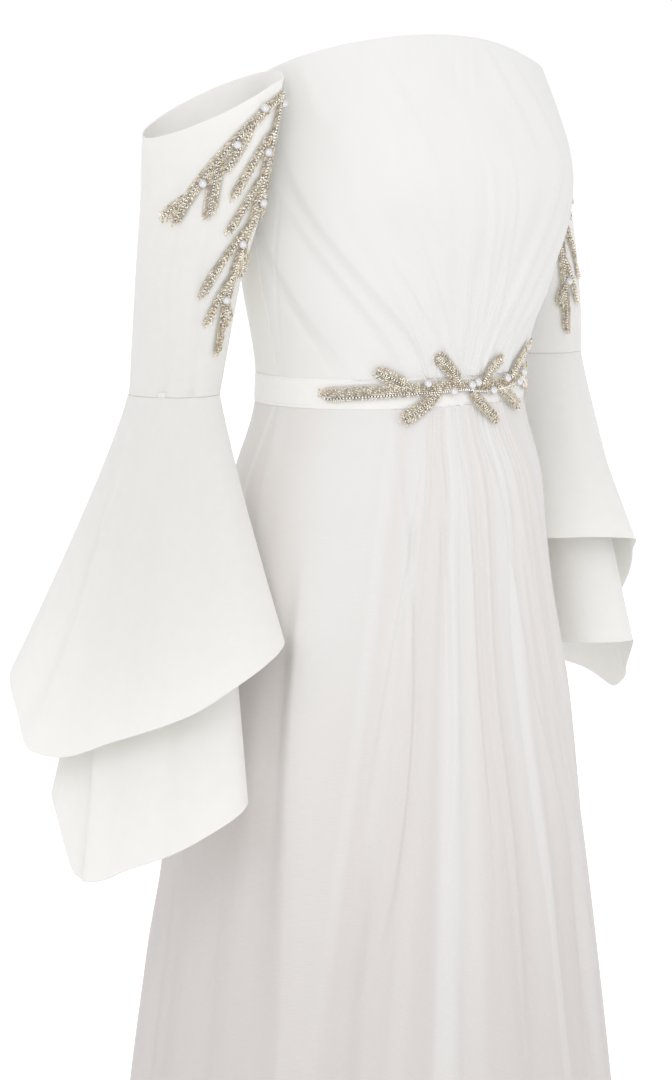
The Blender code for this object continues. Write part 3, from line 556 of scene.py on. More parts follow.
# How the sprigs wrap on the cloth, in metres and degrees
WAIST_SPRIG_OFF = 0.0034
WAIST_SPRIG_RADIUS = 0.109
SLEEVE_SPRIG_OFF = 0.0014
SLEEVE_SPRIG_DEGREES = 98
SLEEVE_SPRIG_RADIUS = 0.052
NEARBY_DEGREES = 1.0
NEARBY_HEIGHT = 0.004

# Fields for what a cloth was cut to before sewing: width and length in metres, and area in square
# metres; no cloth is given them here
Cut = namedtuple("Cut", "width length area held rests_on")

# Fine structure in the cloths: how often it repeats in a metre across and along, and its detail
Texture = namedtuple("Texture", "across along detail", defaults=(2.0,))
CREPE_GRAIN = Texture(1700, 1100)
CREPE_SLUBS = Texture(60, 900, 1.0)
CREPE_MOTTLE = Texture(14, 14)
CHIFFON_STREAKS = Texture(22, 620, 3.0)
CHIFFON_THREADS = Texture(1500, 90)
CHIFFON_MOTTLE = Texture(9, 5)
SATIN_THREADS = Texture(45, 1900)
SATIN_MOTTLE = Texture(25, 60)
NET_GRAIN = Texture(700, 700)
NET_THREADS_PER_METRE = 760
NET_THREAD_SHARE = 0.42
NET_COVER = 0.85

# How sheer chiffon shows its lining: the most, less in dense threads and in each more layer
SEEN_THROUGH = 0.80
THREADS_HIDE = 0.35
LAYERS_HIDE = 2.2
# How dark the painted shade makes the lining's colour at the knee
LINING_IN_SHADE = 0.80

# Colours that the settings leave alone
# A painted glint: the lightest tone of the beads
GLINT = (1.0, 0.95, 0.84)
# Crystal tones: near black as painted shade between crystals, silver, and white as a painted glint
CRYSTAL_SHADE_SILVER_GLINT = ((0.03, 0.027, 0.022), (0.80, 0.80, 0.79), (1.0, 1.0, 1.0))
ZIP_COLOUR = (0.80, 0.79, 0.76)
TEETH_COLOUR = (0.84, 0.83, 0.81)
BARE_METAL = (0.62, 0.61, 0.60)
WORN_FROM = 0.68

# The studio: soft round lights, as shares of the key light's power and size
Lamp = namedtuple("Lamp", "name place power size")
LAMPS = [
    Lamp("key", (-2.6, -2.05, 2.0), 1.0, 1.0),
    Lamp("fill", (-1.9, -2.6, 0.0), 0.40, 1.4),
    Lamp("side_fill", (1.4, -2.9, 0.1), 0.30, 1.4),
]
FLOOR_COLOUR = (0.88, 0.88, 0.88)
FLOOR_GLOW = 0.45
BACKDROP_COLOUR = (0.0, 0.0, 0.0)
BACKDROP_GLOW = 1.0
BACKDROP_SHARE = 0.6

# The camera: where it stands, where the waist's middle falls in the picture, and its lens
CAMERA_AT = (-2.1274, -2.3627, 0.278)
PICTURE = (672, 1080)
WAIST_IN_PICTURE = (388.0, 382.5)
FOCAL_PIXELS = 3764.0
SENSOR = 36.0
FARTHEST_VIEW = 200


def curved(rows, place):
    """Blend a table's rows at many places in its first column, through a smooth cubic."""
    table = np.array(rows, float)
    first = table[:, 0]
    place = np.clip(np.asarray(place, float), first[0], first[-1])
    index = np.clip(np.searchsorted(first, place, side="right") - 1, 0, len(first) - 2)
    order = np.arange(len(first))
    low = np.maximum(order - 1, 0)
    high = np.minimum(order + 1, len(first) - 1)
    slopes = (table[high] - table[low]) / (first[high] - first[low])[:, None]
    step = (first[index + 1] - first[index])[..., None]
    t = (place - first[index])[..., None] / step
    start = table[index]
    end = table[index + 1]
    value = start + (end - start) * t * t * (3 - 2 * t)
    value = value + (t ** 3 - 2 * t ** 2 + t) * slopes[index] * step
    value = value + (t ** 3 - t ** 2) * slopes[index + 1] * step
    return type(rows[0])(*np.moveaxis(value, -1, 0))


def mix(start, end, share):
    """Return the value a share of the way from start to end."""
    return start + (end - start) * share


def smooth_step(low, high, value):
    """Return 0 below low and 1 above high, easing between them."""
    t = np.clip((value - low) / (high - low), 0, 1)
    return t * t * (3 - 2 * t)


def torso_points(angle, height, out=0.0):
    """Return points of the body's surface at angles from the front, moved out from the axis."""
    angle, height = np.broadcast_arrays(np.asarray(angle, float), np.asarray(height, float))
    row = curved(TORSO, height)
    in_front = np.cos(angle) > 0
    depth = np.where(in_front, row.front, row.back)
    power = np.where(in_front, row.squareness, BACK_SQUARENESS)
    across = np.abs(np.sin(angle) / row.half_width) ** power
    along = np.abs(np.cos(angle) / depth) ** power
    radius = (across + along) ** (-1 / power) + out
    return np.stack([radius * np.sin(angle), -radius * np.cos(angle), height], -1)


def top_edge(angle):
    """Return the height of the strapless top edge."""
    fall = 1 - np.cos(angle)
    fall = np.where(fall < 1, fall ** TOP_EDGE_FALL_POWER, fall)
    dip = TOP_EDGE_DIP * np.exp(-((angle - TOP_EDGE_DIP_AT) / TOP_EDGE_DIP_WIDTH) ** 2)
    return TOP_EDGE_FRONT - TOP_EDGE_FALL * fall - TOP_EDGE_TILT * np.sin(angle) - dip


def fan_angle(fan, share, spread):
    """Return draped columns' angles: gathered at the waist, fanned out by the spread 0 to 1."""
    table = np.array(fan, float)
    at_waist = np.interp(np.abs(share), table[:, 0], table[:, 1])
    fanned = np.interp(np.abs(share), table[:, 0], table[:, 2])
    return np.radians(mix(at_waist, fanned, spread)) * np.sign(share)


def gather_wave(share):
    """Return how far columns stand out within their gather, 0 to the gather's own weight."""
    gather = (share + 1) / 2 * GATHERS
    weights = np.array(GATHER_WEIGHTS)[np.rint(gather).astype(int) % len(GATHER_WEIGHTS)]
    return (0.5 + 0.5 * np.cos(2 * np.pi * gather)) * weights


def inside_fan(fan, share):
    """Return 1 within the fan of gathers, falling to 0 across its outermost columns."""
    return np.clip((fan[1].share + FAN_FADE - np.abs(share)) / FAN_FADE, 0, 1)


def crease_out(creases, degrees, place):
    """Return how far creases lift a surface: each fades out towards its end."""
    out = np.zeros(np.broadcast(degrees, place).shape)
    for crease in creases:
        t = (place - crease.start_at) / (crease.end_at - crease.start_at)
        middle = (crease.mid_at - crease.start_at) / (crease.end_at - crease.start_at)
        along = np.clip(t, 0, 1)
        bow = crease.mid_degrees - mix(crease.start_degrees, crease.end_degrees, middle)
        path = mix(crease.start_degrees, crease.end_degrees, along)
        path = path + bow * along * (1 - along) / (middle * (1 - middle))
        distance = ((degrees - path + 180) % 360 - 180) * math.copysign(1, crease.lean)
        fade = smooth_step(-CREASE_LEAD, 0, t) * (1 - smooth_step(CREASE_FADES_FROM, 1, t))
        soft = max(1.0, abs(crease.lean))
        wide = crease.width * np.where(distance > 0, soft, 1)
        ridge = np.exp(-(distance / wide) ** 2)
        if soft > 1:
            from_hollow = (distance / crease.width + HOLLOW_PLACE) / HOLLOW_WIDTH
            ridge = ridge - HOLLOW_DEPTH * np.exp(-from_hollow ** 2)
        out = out + crease.depth * ridge * fade
    return out


def swell_out(swells, degrees, height):
    """Return how far broad soft forms lift a surface."""
    out = np.zeros(np.broadcast(degrees, height).shape)
    for swell in swells:
        across = ((degrees - swell.degrees) / swell.half_degrees) ** 2
        up = ((height - swell.height) / swell.half_height) ** 2
        out = out + swell.depth * np.exp(-across - up)
    return out


def pleats_out(pleats, share, reach, down):
    """Return fine pleats along columns: each has its own place, width, depth and length."""
    rng = np.random.default_rng(pleats.seed)
    count = pleats.count
    out = np.zeros(share.shape)
    stray = rng.uniform(-PLEAT_STRAY, PLEAT_STRAY, count)
    places = ((np.arange(count) + stray) / count * 2 - 1) * reach
    widths = rng.uniform(*pleats.width, count)
    depths = rng.uniform(*pleats.depth, count)
    lengths = rng.uniform(*pleats.length, count)
    leans = rng.normal(0, PLEAT_LEAN, count)
    for place, wide, deep, long, lean in zip(places, widths, depths, lengths, leans):
        across = (share - place) / wide
        slant = 1 + PLEAT_SLANT * np.tanh(across * lean * 2)
        ridge = np.exp(-np.abs(across) ** PLEAT_ROUND) * slant
        near = np.where(np.abs(across) < PLEAT_REACH, ridge, 0)
        out = out + near * deep * np.clip(1 - down / long, 0, 1) ** PLEAT_FADE
    return out


def uneven_out(uneven, u, v):
    """Return soft unevenness over a grid, up to its own depth out or in."""
    rng = np.random.default_rng(uneven.seed)
    lattice = rng.uniform(-1, 1, (uneven.up + 2, uneven.across + 2))
    x = u * uneven.across
    y = v * uneven.up
    i = np.clip(x.astype(int), 0, uneven.across)
    j = np.clip(y.astype(int), 0, uneven.up)
    s = smooth_step(0, 1, x - i)
    t = smooth_step(0, 1, y - j)
    low = mix(lattice[j, i], lattice[j, i + 1], s)
    high = mix(lattice[j + 1, i], lattice[j + 1, i + 1], s)
    return uneven.depth * mix(low, high, t)


def calmed(calm, away):
    """Return the share of their depth that creases have at a distance from the waist."""
    return mix(calm.least, 1.0, smooth_step(calm.begins, calm.ends, away))


def between_sides(share, fade):
    """Return 0 at a panel's two side edges and 1 between them."""
    return smooth_step(0, fade, share) * smooth_step(0, fade, 1 - share)


def fan_shares(columns, rows):
    """Return a front panel's shares across, closer in the gathers, and its rises."""
    across = np.interp(np.linspace(0, 1, columns + 1), FAN_COLUMNS, FAN_SHARES)
    return np.meshgrid(across, np.linspace(0, 1, rows + 1))


def unit_grid(columns, rows, fine=0.0):
    """Return the shares across and up a grid of points, with a fine first and last row if asked."""
    up = np.linspace(0, 1, rows + 1)
    if fine:
        up[1], up[-2] = fine, 1 - fine
    return np.meshgrid(np.linspace(0, 1, columns + 1), up)


def lifted(points, out, tube=False):
    """Move a grid of points out along the surface's own normals."""
    across = np.gradient(points, axis=1)
    if tube:
        across[:, 0] = points[:, 1] - points[:, -2]
        across[:, -1] = across[:, 0]
    normals = np.cross(across, np.gradient(points, axis=0))
    normals = normals / np.maximum(np.linalg.norm(normals, axis=-1, keepdims=True), 1e-12)
    return points + normals * np.asarray(out)[..., None]


def grid_mesh(name, points, tube=False, **values):
    """Make a mesh of a grid of points, with its UVs in metres along the cloth."""
    rows = points.shape[0] - 1
    columns = points.shape[1] - 1
    shape = bmesh.new()
    bmesh.ops.create_grid(shape, x_segments=columns, y_segments=rows, size=0.5)
    mesh = bpy.data.meshes.new(name)
    shape.to_mesh(mesh)
    shape.free()
    flat = np.empty(len(mesh.vertices) * 3, np.float32)
    mesh.vertices.foreach_get("co", flat)
    flat = flat.reshape(-1, 3)
    column = np.rint((flat[:, 0] + 0.5) * columns).astype(int)
    row = np.rint((flat[:, 1] + 0.5) * rows).astype(int)
    mesh.vertices.foreach_set("co", points[row, column].astype(np.float32).ravel())

    wide = np.linalg.norm(np.diff(points, axis=1), axis=-1).sum(axis=1).max()
    long = np.linalg.norm(np.diff(points, axis=0), axis=-1).sum(axis=0).max()
    corners = np.empty(len(mesh.loops), np.int32)
    mesh.loops.foreach_get("vertex_index", corners)
    uv = np.stack([column / columns * wide, row / rows * long], 1)[corners]
    mesh.uv_layers.new(name="Cloth").data.foreach_set("uv", uv.astype(np.float32).ravel())
    for layer_name, layer_values in values.items():
        layer = mesh.attributes.new(layer_name, "FLOAT", "POINT")
        layer.data.foreach_set("value", layer_values[row, column].astype(np.float32))
    if tube:
        shape = bmesh.new()
        shape.from_mesh(mesh)
        bmesh.ops.remove_doubles(shape, verts=shape.verts, dist=WELD_DISTANCE)
        shape.to_mesh(mesh)
        shape.free()
    mesh.shade_smooth()
    return mesh


def piece(name, mesh, material, replaces=(), wall=0.0):
    """Add a piece that rides on the gown, and give it a wall on its inner side."""
    obj = bpy.data.objects.new(name, mesh)
    bpy.context.scene.collection.objects.link(obj)
    mesh.materials.append(material)
    if wall:
        solidify = obj.modifiers.new("Wall", "SOLIDIFY")
        solidify.thickness = wall
        solidify.offset = -1
    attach(obj, BODY)
    if replaces:
        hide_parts(*replaces)
    return obj


def turned_edge(points, at_end, reach):
    """Add rows that turn a sheet's last or first row over to its inner side."""
    grid = points if at_end else points[::-1]
    outward = grid[-1] - grid[-2]
    outward = outward / np.linalg.norm(outward, axis=-1, keepdims=True)
    across = np.gradient(grid[-1], axis=0)
    normal = np.cross(across, outward if at_end else -outward)
    normal = normal / np.linalg.norm(normal, axis=-1, keepdims=True) * EDGE_ROLL
    rows = []
    for degrees in TURN_DEGREES:
        turn = math.radians(degrees)
        over = outward * EDGE_ROLL * math.sin(turn)
        rows.append(grid[-1] + over - normal * (1 - math.cos(turn)))
    for share in TURN_SHARES:
        rows.append(grid[-1] - outward * reach * share - normal * 2)
    grid = np.concatenate([grid, np.stack(rows)])
    return grid if at_end else grid[::-1]


def with_hem_rows(values, in_hem=None):
    """Add values for the rows that a turned hem adds below a grid's first row."""
    hem = values[:1] if in_hem is None else np.full_like(values[:1], in_hem)
    return np.concatenate([np.repeat(hem, EDGE_ROWS, axis=0), values])


def bodice_front_points(share, rise):
    """Return the draped front panel's points, angles and heights."""
    height = mix(BAND_EDGE, top_edge(share * SIDE_SEAM), rise)
    up = height / BODICE_FAN_HEIGHT
    spread = up / (1 + up ** BODICE_FAN_SOFTNESS) ** (1 / BODICE_FAN_SOFTNESS)
    angle = fan_angle(BODICE_FAN, share, spread)
    height = mix(BAND_EDGE, top_edge(angle), rise)
    limit = SIDE_SEAM - SEWN_GAP / 2 / curved(TORSO, height).half_width
    angle = np.clip(angle, -limit, limit)
    degrees = np.degrees(angle)
    gathers = curved(BODICE_DEPTHS, height).gathers * gather_wave(share)
    out = gathers * inside_fan(BODICE_FAN, share) * BODICE_GATHER_SHARE
    out = out + swell_out(BODICE_SWELLS, degrees, height)
    return torso_points(angle, height, out), degrees, height


def bodice_back_points(side, share, rise):
    """Return a back panel's points, from the side seam at share 0 to the zip at 1."""
    height = mix(BAND_EDGE, top_edge(back_angle(side, share, BAND_EDGE)), rise)
    angle = back_angle(side, share, height)
    return torso_points(angle, height), np.abs(np.degrees(angle)), height


def back_angle(side, share, height):
    """Return the angle of a back panel's column, clear of the side seam and the zip."""
    row = curved(TORSO, np.asarray(height, float))
    start = SIDE_SEAM + SEWN_GAP / 2 / row.half_width
    zipped = smooth_step(ZIP_FOOT, ZIP_FOOT + ZIP_SEAM_OPENS, height)
    end = BACK_SEAM - mix(SEWN_GAP, SEAM_GAP, zipped) / 2 / row.back
    return side * mix(start, end, share)


def skirt_height(hem, rise):
    """Return the height of a skirt's row, with the rows crowded towards the waist."""
    return mix(-BAND_EDGE, hem, (1 - rise) ** SKIRT_ROW_CROWDING)


def skirt_front_points(share, rise):
    """Return the gathered skirt front's points, angles and heights."""
    height = skirt_height(HEM, rise)
    spread = np.minimum(-height / SKIRT_FAN_HEIGHT, 1) ** SKIRT_FAN_EASE
    angle = fan_angle(SKIRT_FAN, share, spread)
    limit = SIDE_SEAM - SEWN_GAP / 2 / curved(TORSO, height).half_width
    angle = np.clip(angle, -limit, limit)
    depths = curved(SKIRT_DEPTHS, height)
    gathers = depths.gathers * SKIRT_GATHER_SHARE
    depth = mix(depths.side_folds * SKIRT_SIDE_SHARE, gathers, inside_fan(SKIRT_FAN, share))
    out = depth * gather_wave(share) * np.minimum(1, (1 - np.abs(share)) / SIDE_FADE)
    return torso_points(angle, height, out), np.degrees(angle), height


def skirt_back_points(side, share, rise):
    """Return a skirt back's points, angles from the front and heights."""
    height = skirt_height(HEM, rise)
    angle = back_angle(side, share, height)
    fold = 0.5 - 0.5 * np.cos(2 * np.pi * BACK_FOLDS * share)
    out = curved(SKIRT_DEPTHS, height).side_folds * fold
    return torso_points(angle, height, out), np.abs(np.degrees(angle)), height


def underskirt_points(angle_from, angle_to, share, rise):
    """Return the lining skirt's points between two angles."""
    height = skirt_height(UNDERSKIRT_HEM, rise)
    down = height / UNDERSKIRT_HEM
    fold = 0.5 - 0.5 * np.cos(2 * np.pi * UNDERSKIRT_FOLDS * share)
    inside = WALL + LAYER_GAP + UNDERSKIRT_EASE * down
    angle = mix(angle_from, angle_to, share)
    return torso_points(angle, height, UNDERSKIRT_FOLD_DEPTH * down * fold - inside)


def beside_torso(points, clearance):
    """Push points that come into the body out to a clearance from it."""
    angle = np.arctan2(points[..., 0], -points[..., 1])
    nearest = torso_points(angle, points[..., 2], clearance)
    inside = np.hypot(nearest[..., 0], nearest[..., 1]) > np.hypot(points[..., 0], points[..., 1])
    return np.where(inside[..., None], nearest, points)


def opening_height(side, degrees):
    """Return a sleeve's height at its slanted opening, at angles from its outer side."""
    ring = SLEEVE_RINGS[side][-1]
    angle = np.radians(degrees)
    slope_in = OPENING_SLOPE_IN * ring.half_across * np.cos(angle)
    return OPENING_MIDDLE - slope_in + OPENING_SLOPE_FRONT * ring.half_along * np.sin(angle)


def sleeve_points(side, degrees, height, inside=0.0):
    """Return points of a sleeve's tube, some way inside its surface."""
    degrees, height = np.broadcast_arrays(np.asarray(degrees, float), np.asarray(height, float))
    ring = curved(SLEEVE_RINGS[side], height)
    angle = np.radians(degrees)
    x = SIDES[side] * (ring.out + (ring.half_across - inside) * np.cos(angle))
    y = ring.back - (ring.half_along - inside) * np.sin(angle)
    return beside_torso(np.stack([x, y, height], -1), BODICE_CLEARANCE)


def flounce_points(side, tier, degrees, rise):
    """Return points of a bell flounce, from its hem at rise 0 to the sleeve's seam at 1."""
    bell = BELLS[side][tier]
    first = FLOUNCE_HEMS[side][0].degrees
    degrees, rise = np.broadcast_arrays(np.asarray(degrees, float), np.asarray(rise, float))
    hem = curved(FLOUNCE_HEMS[side], (degrees - first) % 360 + first)
    drop = hem.lower if tier == "lower" else hem.upper
    down = 1 - rise
    seam = SLEEVE_LIFT[side]
    layers = bell.layers_inside * (WALL + LAYER_GAP)
    start = sleeve_points(side, degrees, seam, layers)
    start[..., 2] = seam - SEAM_GAP
    angle = np.radians(degrees)
    turned = angle - BELL_TURN
    across = np.abs(np.cos(turned) / bell.half_long) ** BELL_SQUARENESS
    along = np.abs(np.sin(turned) / bell.half_short) ** BELL_SQUARENESS
    radius = (across + along) ** (-1 / BELL_SQUARENESS)
    x = SIDES[side] * (bell.out + radius * np.cos(angle))
    end = np.stack([x, bell.back - radius * np.sin(angle), np.zeros_like(angle)], -1)
    point = start + (end - start) * (down ** BELL_FLARE)[..., None]
    point[..., 2] = start[..., 2] - down * drop
    return beside_torso(point, SKIRT_CLEARANCE + layers)


def tube_degrees(side, share):
    """Return the angle of a tube's column, so that its outer face looks away from the arm."""
    return -SIDES[side] * 360 * share


def room_beside_torso(points):
    """Return how far points lie outside the body's surface."""
    angle = np.arctan2(points[..., 0], -points[..., 1])
    nearest = torso_points(angle, points[..., 2])
    return np.hypot(points[..., 0], points[..., 1]) - np.hypot(nearest[..., 0], nearest[..., 1])


def creased_sleeve(side, degrees, height):
    """Return points of a sleeve with its soft folds."""
    creases = crease_out(SLEEVE_CREASES[side], degrees, height)
    return sleeve_points(side, degrees, height, -creases)


def waist_layers(height):
    """Return how many more layers of chiffon the gathers make, most at the waist."""
    return WAIST_LAYERS * smooth_step(*WAIST_LAYERS_FROM, height)


def doubled_cloth(bands, share, height):
    """Return how many more layers of chiffon lie in the folds at each place."""
    layers = waist_layers(height)
    for band in bands:
        inside = band.half_share - np.abs(share - band.share)
        edge = smooth_step(-band.edge, band.edge, inside)
        reach = smooth_step(band.foot, band.foot + BAND_FADE, height)
        if band.top < 0:
            low, high = (band.top + fade for fade in BAND_TOP_FADE)
            reach = reach * (1 - smooth_step(low, high, height))
        layers = layers + band.strength * edge * reach
    return layers


def lining_shade_share(height):
    """Return the share of painted shade on the lining seen through the chiffon, from 0 at the waist
    to 1 at the knee, where the lining hangs farthest behind.
    """
    return smooth_step(*LINING_SHADE_SPAN, -height)


def arm_path(stem, chosen):
    """Return the points, headings and half widths along an arm at distances from its start."""
    share = (np.arange(ARM_STEPS) + 0.5) / ARM_STEPS
    heading = np.radians(stem.heading + stem.bend * share)
    step = stem.length / ARM_STEPS
    reached = np.arange(ARM_STEPS + 1) * step
    x = stem.x + np.concatenate([[0], np.cumsum(np.cos(heading))]) * step
    y = stem.y + np.concatenate([[0], np.cumsum(np.sin(heading))]) * step
    share = chosen / stem.length
    to_tip = np.clip((stem.length + TIP_OVERRUN - chosen) / TIP_ROUND, 0, 1)
    widened = mix(ARM_BASE_SHARE, 1, smooth_step(0, ARM_WIDENS_BY, share))
    half_width = ARM_HALF_WIDTH * widened * np.sqrt(1 - (1 - to_tip) ** 2)
    points = np.stack([np.interp(chosen, reached, x), np.interp(chosen, reached, y)], 1)
    return points, np.radians(stem.heading + stem.bend * share), half_width


def wrapped(surface, u, v, step_u, inner, out):
    """Return a surface's points moved out along its normals, away from points inside it."""
    across = surface(u + step_u, v) - surface(u - step_u, v)
    up = surface(u, v + NEARBY_HEIGHT) - surface(u, v - NEARBY_HEIGHT)
    normal = np.cross(across, up)
    normal = normal / np.linalg.norm(normal, axis=-1, keepdims=True)
    here = surface(u, v)
    facing = np.sign((normal * (here - inner)).sum(-1, keepdims=True))
    return here + normal * facing * out[..., None]


def wrap_on_waist(flat):
    """Wrap flat points on the waist: x round it from the centre front, y up and z out."""
    flat = flat * MILLIMETRE
    inner = np.stack([flat[:, 0] * 0, flat[:, 0] * 0, flat[:, 1]], -1)
    return wrapped(torso_points, flat[:, 0] / WAIST_SPRIG_RADIUS, flat[:, 1],
                   math.radians(NEARBY_DEGREES), inner, WAIST_SPRIG_OFF + flat[:, 2])


def wrap_on_sleeve(side, flat):
    """Wrap flat points on a sleeve: x round to its inner side, y up from its opening and z out."""
    flat = flat * MILLIMETRE
    degrees = SLEEVE_SPRIG_DEGREES + np.degrees(flat[:, 0] / SLEEVE_SPRIG_RADIUS)
    height = opening_height(side, degrees) + flat[:, 1]
    ring = curved(SLEEVE_RINGS[side], height)
    inner = np.stack([SIDES[side] * ring.out, ring.back, height], -1)
    return wrapped(lambda u, v: creased_sleeve(side, u, v), degrees, height, NEARBY_DEGREES, inner,
                   SLEEVE_SPRIG_OFF + flat[:, 2])


Beads = namedtuple("Beads", "kind centres directions sizes tones smooth")


def from_lowest(corners):
    """Return a triangle's corners in their own turn, with the lowest first."""
    first = corners.index(min(corners))
    return corners[first:] + corners[:first]


def bead_shape(kind):
    """Return the points and triangles of one bead of length and radius 1."""
    shape = bmesh.new()
    if kind == "tooth":
        bmesh.ops.create_cone(shape, cap_ends=True, segments=6, radius1=1, radius2=1, depth=1,
                              matrix=Matrix.Rotation(math.radians(90), 4, "Y"))
    elif kind == "crystal":
        bmesh.ops.create_cone(shape, cap_ends=True, segments=8, radius1=1, radius2=0.55, depth=0.7)
    elif kind == "seed":
        bmesh.ops.create_icosphere(shape, subdivisions=1, radius=1)
    else:
        bmesh.ops.create_uvsphere(shape, u_segments=24, v_segments=14, radius=1)
    bmesh.ops.triangulate(shape, faces=shape.faces)
    points = np.array([vertex.co[:] for vertex in shape.verts])
    triangles = [[vertex.index for vertex in face.verts] for face in shape.faces]
    shape.free()
    if kind == "pearl":
        # Blender gives a sphere's faces in another order each run
        triangles = sorted(from_lowest(corners) for corners in triangles)
    return points, np.array(triangles)


def bead_mesh(name, beads, wrap, flip=False):
    """Repeat a bead at flat centres, each turned, sized and toned, and wrap them on the cloth."""
    points, triangles = bead_shape(beads.kind)
    scaled = points[None] * beads.sizes[:, None, :]
    if beads.kind == "pearl":
        placed = wrap(beads.centres)[:, None] + scaled * MILLIMETRE
    else:
        cos = np.cos(beads.directions)[:, None]
        sin = np.sin(beads.directions)[:, None]
        x = scaled[..., 0] * cos - scaled[..., 1] * sin + beads.centres[:, None, 0]
        y = scaled[..., 0] * sin + scaled[..., 1] * cos + beads.centres[:, None, 1]
        z = scaled[..., 2] + beads.centres[:, None, 2]
        placed = wrap(np.stack([x, y, z], -1).reshape(-1, 3))
    starts = len(points) * np.arange(len(beads.centres))
    faces = (triangles[None] + starts[:, None, None]).reshape(-1, 3)
    if flip and beads.kind != "pearl":
        faces = faces[:, ::-1]
    mesh = bpy.data.meshes.new(name)
    mesh.from_pydata(placed.reshape(-1, 3).tolist(), [], faces.tolist())
    tone = mesh.attributes.new("tone", "FLOAT", "POINT")
    tone.data.foreach_set("value", np.repeat(beads.tones, len(points)).astype(np.float32))
    if beads.smooth:
        mesh.shade_smooth()
    else:
        mesh.shade_flat()
    return mesh


def sprig_arms(sprig):
    """Return a sprig's stems and leaves, each as an arm with its own start and heading."""
    arms = list(sprig.stems)
    for leaf in sprig.leaves:
        stem = sprig.stems[leaf.stem]
        point, heading, _ = arm_path(stem, np.array([leaf.share * stem.length]))
        arms.append(Stem(*point[0], math.degrees(heading[0]) + leaf.turn, leaf.length, leaf.bend))
    return arms


def sprig_pearls(sprig):
    """Return the flat centres of a sprig's pearls."""
    centres = []
    for pearl in sprig.pearls:
        stem = sprig.stems[pearl.stem]
        point, heading, _ = arm_path(stem, np.array([pearl.share * stem.length]))
        aside = heading[0] + math.pi / 2
        centres.append((point[0, 0] + pearl.aside * math.cos(aside),
                        point[0, 1] + pearl.aside * math.sin(aside), PEARL_HEIGHT))
    return np.array(centres)


def across_heading(heading):
    """Return the flat directions across an arm's headings."""
    return np.stack([-np.sin(heading), np.cos(heading)], 1)


def distance_to(centres, points):
    """Return each flat point's distance to the nearest of some centres."""
    return np.linalg.norm(points[:, None, :2] - centres[None, :, :2], axis=-1).min(axis=1)


def bead_rows(arm, beading, chain_aside, rng, begins):
    """Return the centres, directions and sizes of an arm's slanted rows of beads."""
    rows = []
    pitch = beading.row_pitch / MILLIMETRE
    radius = beading.bead_radius / MILLIMETRE
    length = beading.bead_length / MILLIMETRE
    rake = math.radians(beading.row_rake_degrees)
    for side in (-1, 1):
        places = np.arange(begins, arm.length + TIP_OVERRUN - TIP_BARE, pitch)
        places = places + rng.uniform(-ROW_STRAY, ROW_STRAY)
        points, heading, half_width = arm_path(arm, np.maximum(places, 0))
        inner = chain_aside * half_width + side * CHAIN_HALF_WIDTH
        room = (side * half_width - inner) * side / math.sin(rake)
        for order in range(ROW_BEADS):
            keep = room > (order + LAST_BEAD_SHARE) * length
            if not keep.any():
                break
            count = keep.sum()
            turn = heading[keep] + side * rake + rng.normal(0, BEAD_TURN, count)
            along = np.stack([np.cos(turn), np.sin(turn)], 1) * ((order + 0.5) * length)
            aside = across_heading(heading[keep]) * inner[keep][:, None]
            stray = rng.uniform(-BEAD_HEIGHT_STRAY, BEAD_HEIGHT_STRAY, count)
            height = BEAD_HEIGHT - BEAD_HEIGHT_FALL * order + stray
            centres = np.column_stack([points[keep] + aside + along, height])
            size = rng.uniform(*BEAD_SIZES, count)
            half_length = size * length / 2 * BEAD_FIT
            sizes = np.column_stack([half_length, size * radius, size * radius])
            rows.append((centres, turn, sizes))
    return [np.concatenate(parts) for parts in zip(*rows)]


def ring_of_seeds(centre, seeds, start=0.0):
    """Return the flat centres and sizes of a ring of seed beads."""
    turn = start + np.arange(seeds.count) / seeds.count * 2 * np.pi
    centres = np.column_stack([centre[0] + seeds.ring_radius * np.cos(turn),
                               centre[1] + seeds.ring_radius * np.sin(turn),
                               turn * 0 + seeds.height])
    return centres, np.full((seeds.count, 3), seeds.radius)


def net_mesh(name, arms, wrap, flip):
    """Make the strips of net that carry the beads, a little wider than the arms."""
    vertices, faces = [], []
    across = np.linspace(-1, 1, NET_COLUMNS)
    for arm in arms:
        rows = max(NET_LEAST_ROWS, int(arm.length / NET_ROW_PITCH))
        places = np.linspace(-NET_MARGIN, arm.length + NET_MARGIN, rows)
        on_arm = np.clip(places, 0, arm.length)
        past = places - on_arm
        points, heading, half_width = arm_path(arm, on_arm)
        points = points + np.stack([np.cos(heading), np.sin(heading)], 1) * past[:, None]
        wide = (half_width + NET_MARGIN) * np.where(past != 0, NET_TIP_SHARE, 1.0)
        aside = (across[None, :] * wide[:, None])[..., None]
        grid = points[:, None] + across_heading(heading)[:, None] * aside
        start = len(vertices)
        height = np.full((grid.size // 2, 1), NET_HEIGHT)
        vertices.extend(np.concatenate([grid.reshape(-1, 2), height], 1))
        for row in range(rows - 1):
            for column in range(NET_COLUMNS - 1):
                corner = start + row * NET_COLUMNS + column
                face = [corner, corner + NET_COLUMNS, corner + NET_COLUMNS + 1, corner + 1]
                faces.append(face if flip else face[::-1])
    flat = np.array(vertices)
    mesh = bpy.data.meshes.new(name)
    mesh.from_pydata(wrap(flat).tolist(), [], faces)
    corners = np.array([loop.vertex_index for loop in mesh.loops])
    uv = mesh.uv_layers.new(name="Cloth")
    uv.data.foreach_set("uv", (flat[corners, :2] * MILLIMETRE).astype(np.float32).ravel())
    mesh.shade_smooth()
    return mesh


def connect(tree, made, inputs):
    """Set a node's inputs to values, or link them to other nodes' outputs."""
    for key, value in inputs.items():
        if isinstance(value, bpy.types.NodeSocket):
            tree.links.new(value, made.inputs[key])
        else:
            made.inputs[key].default_value = value


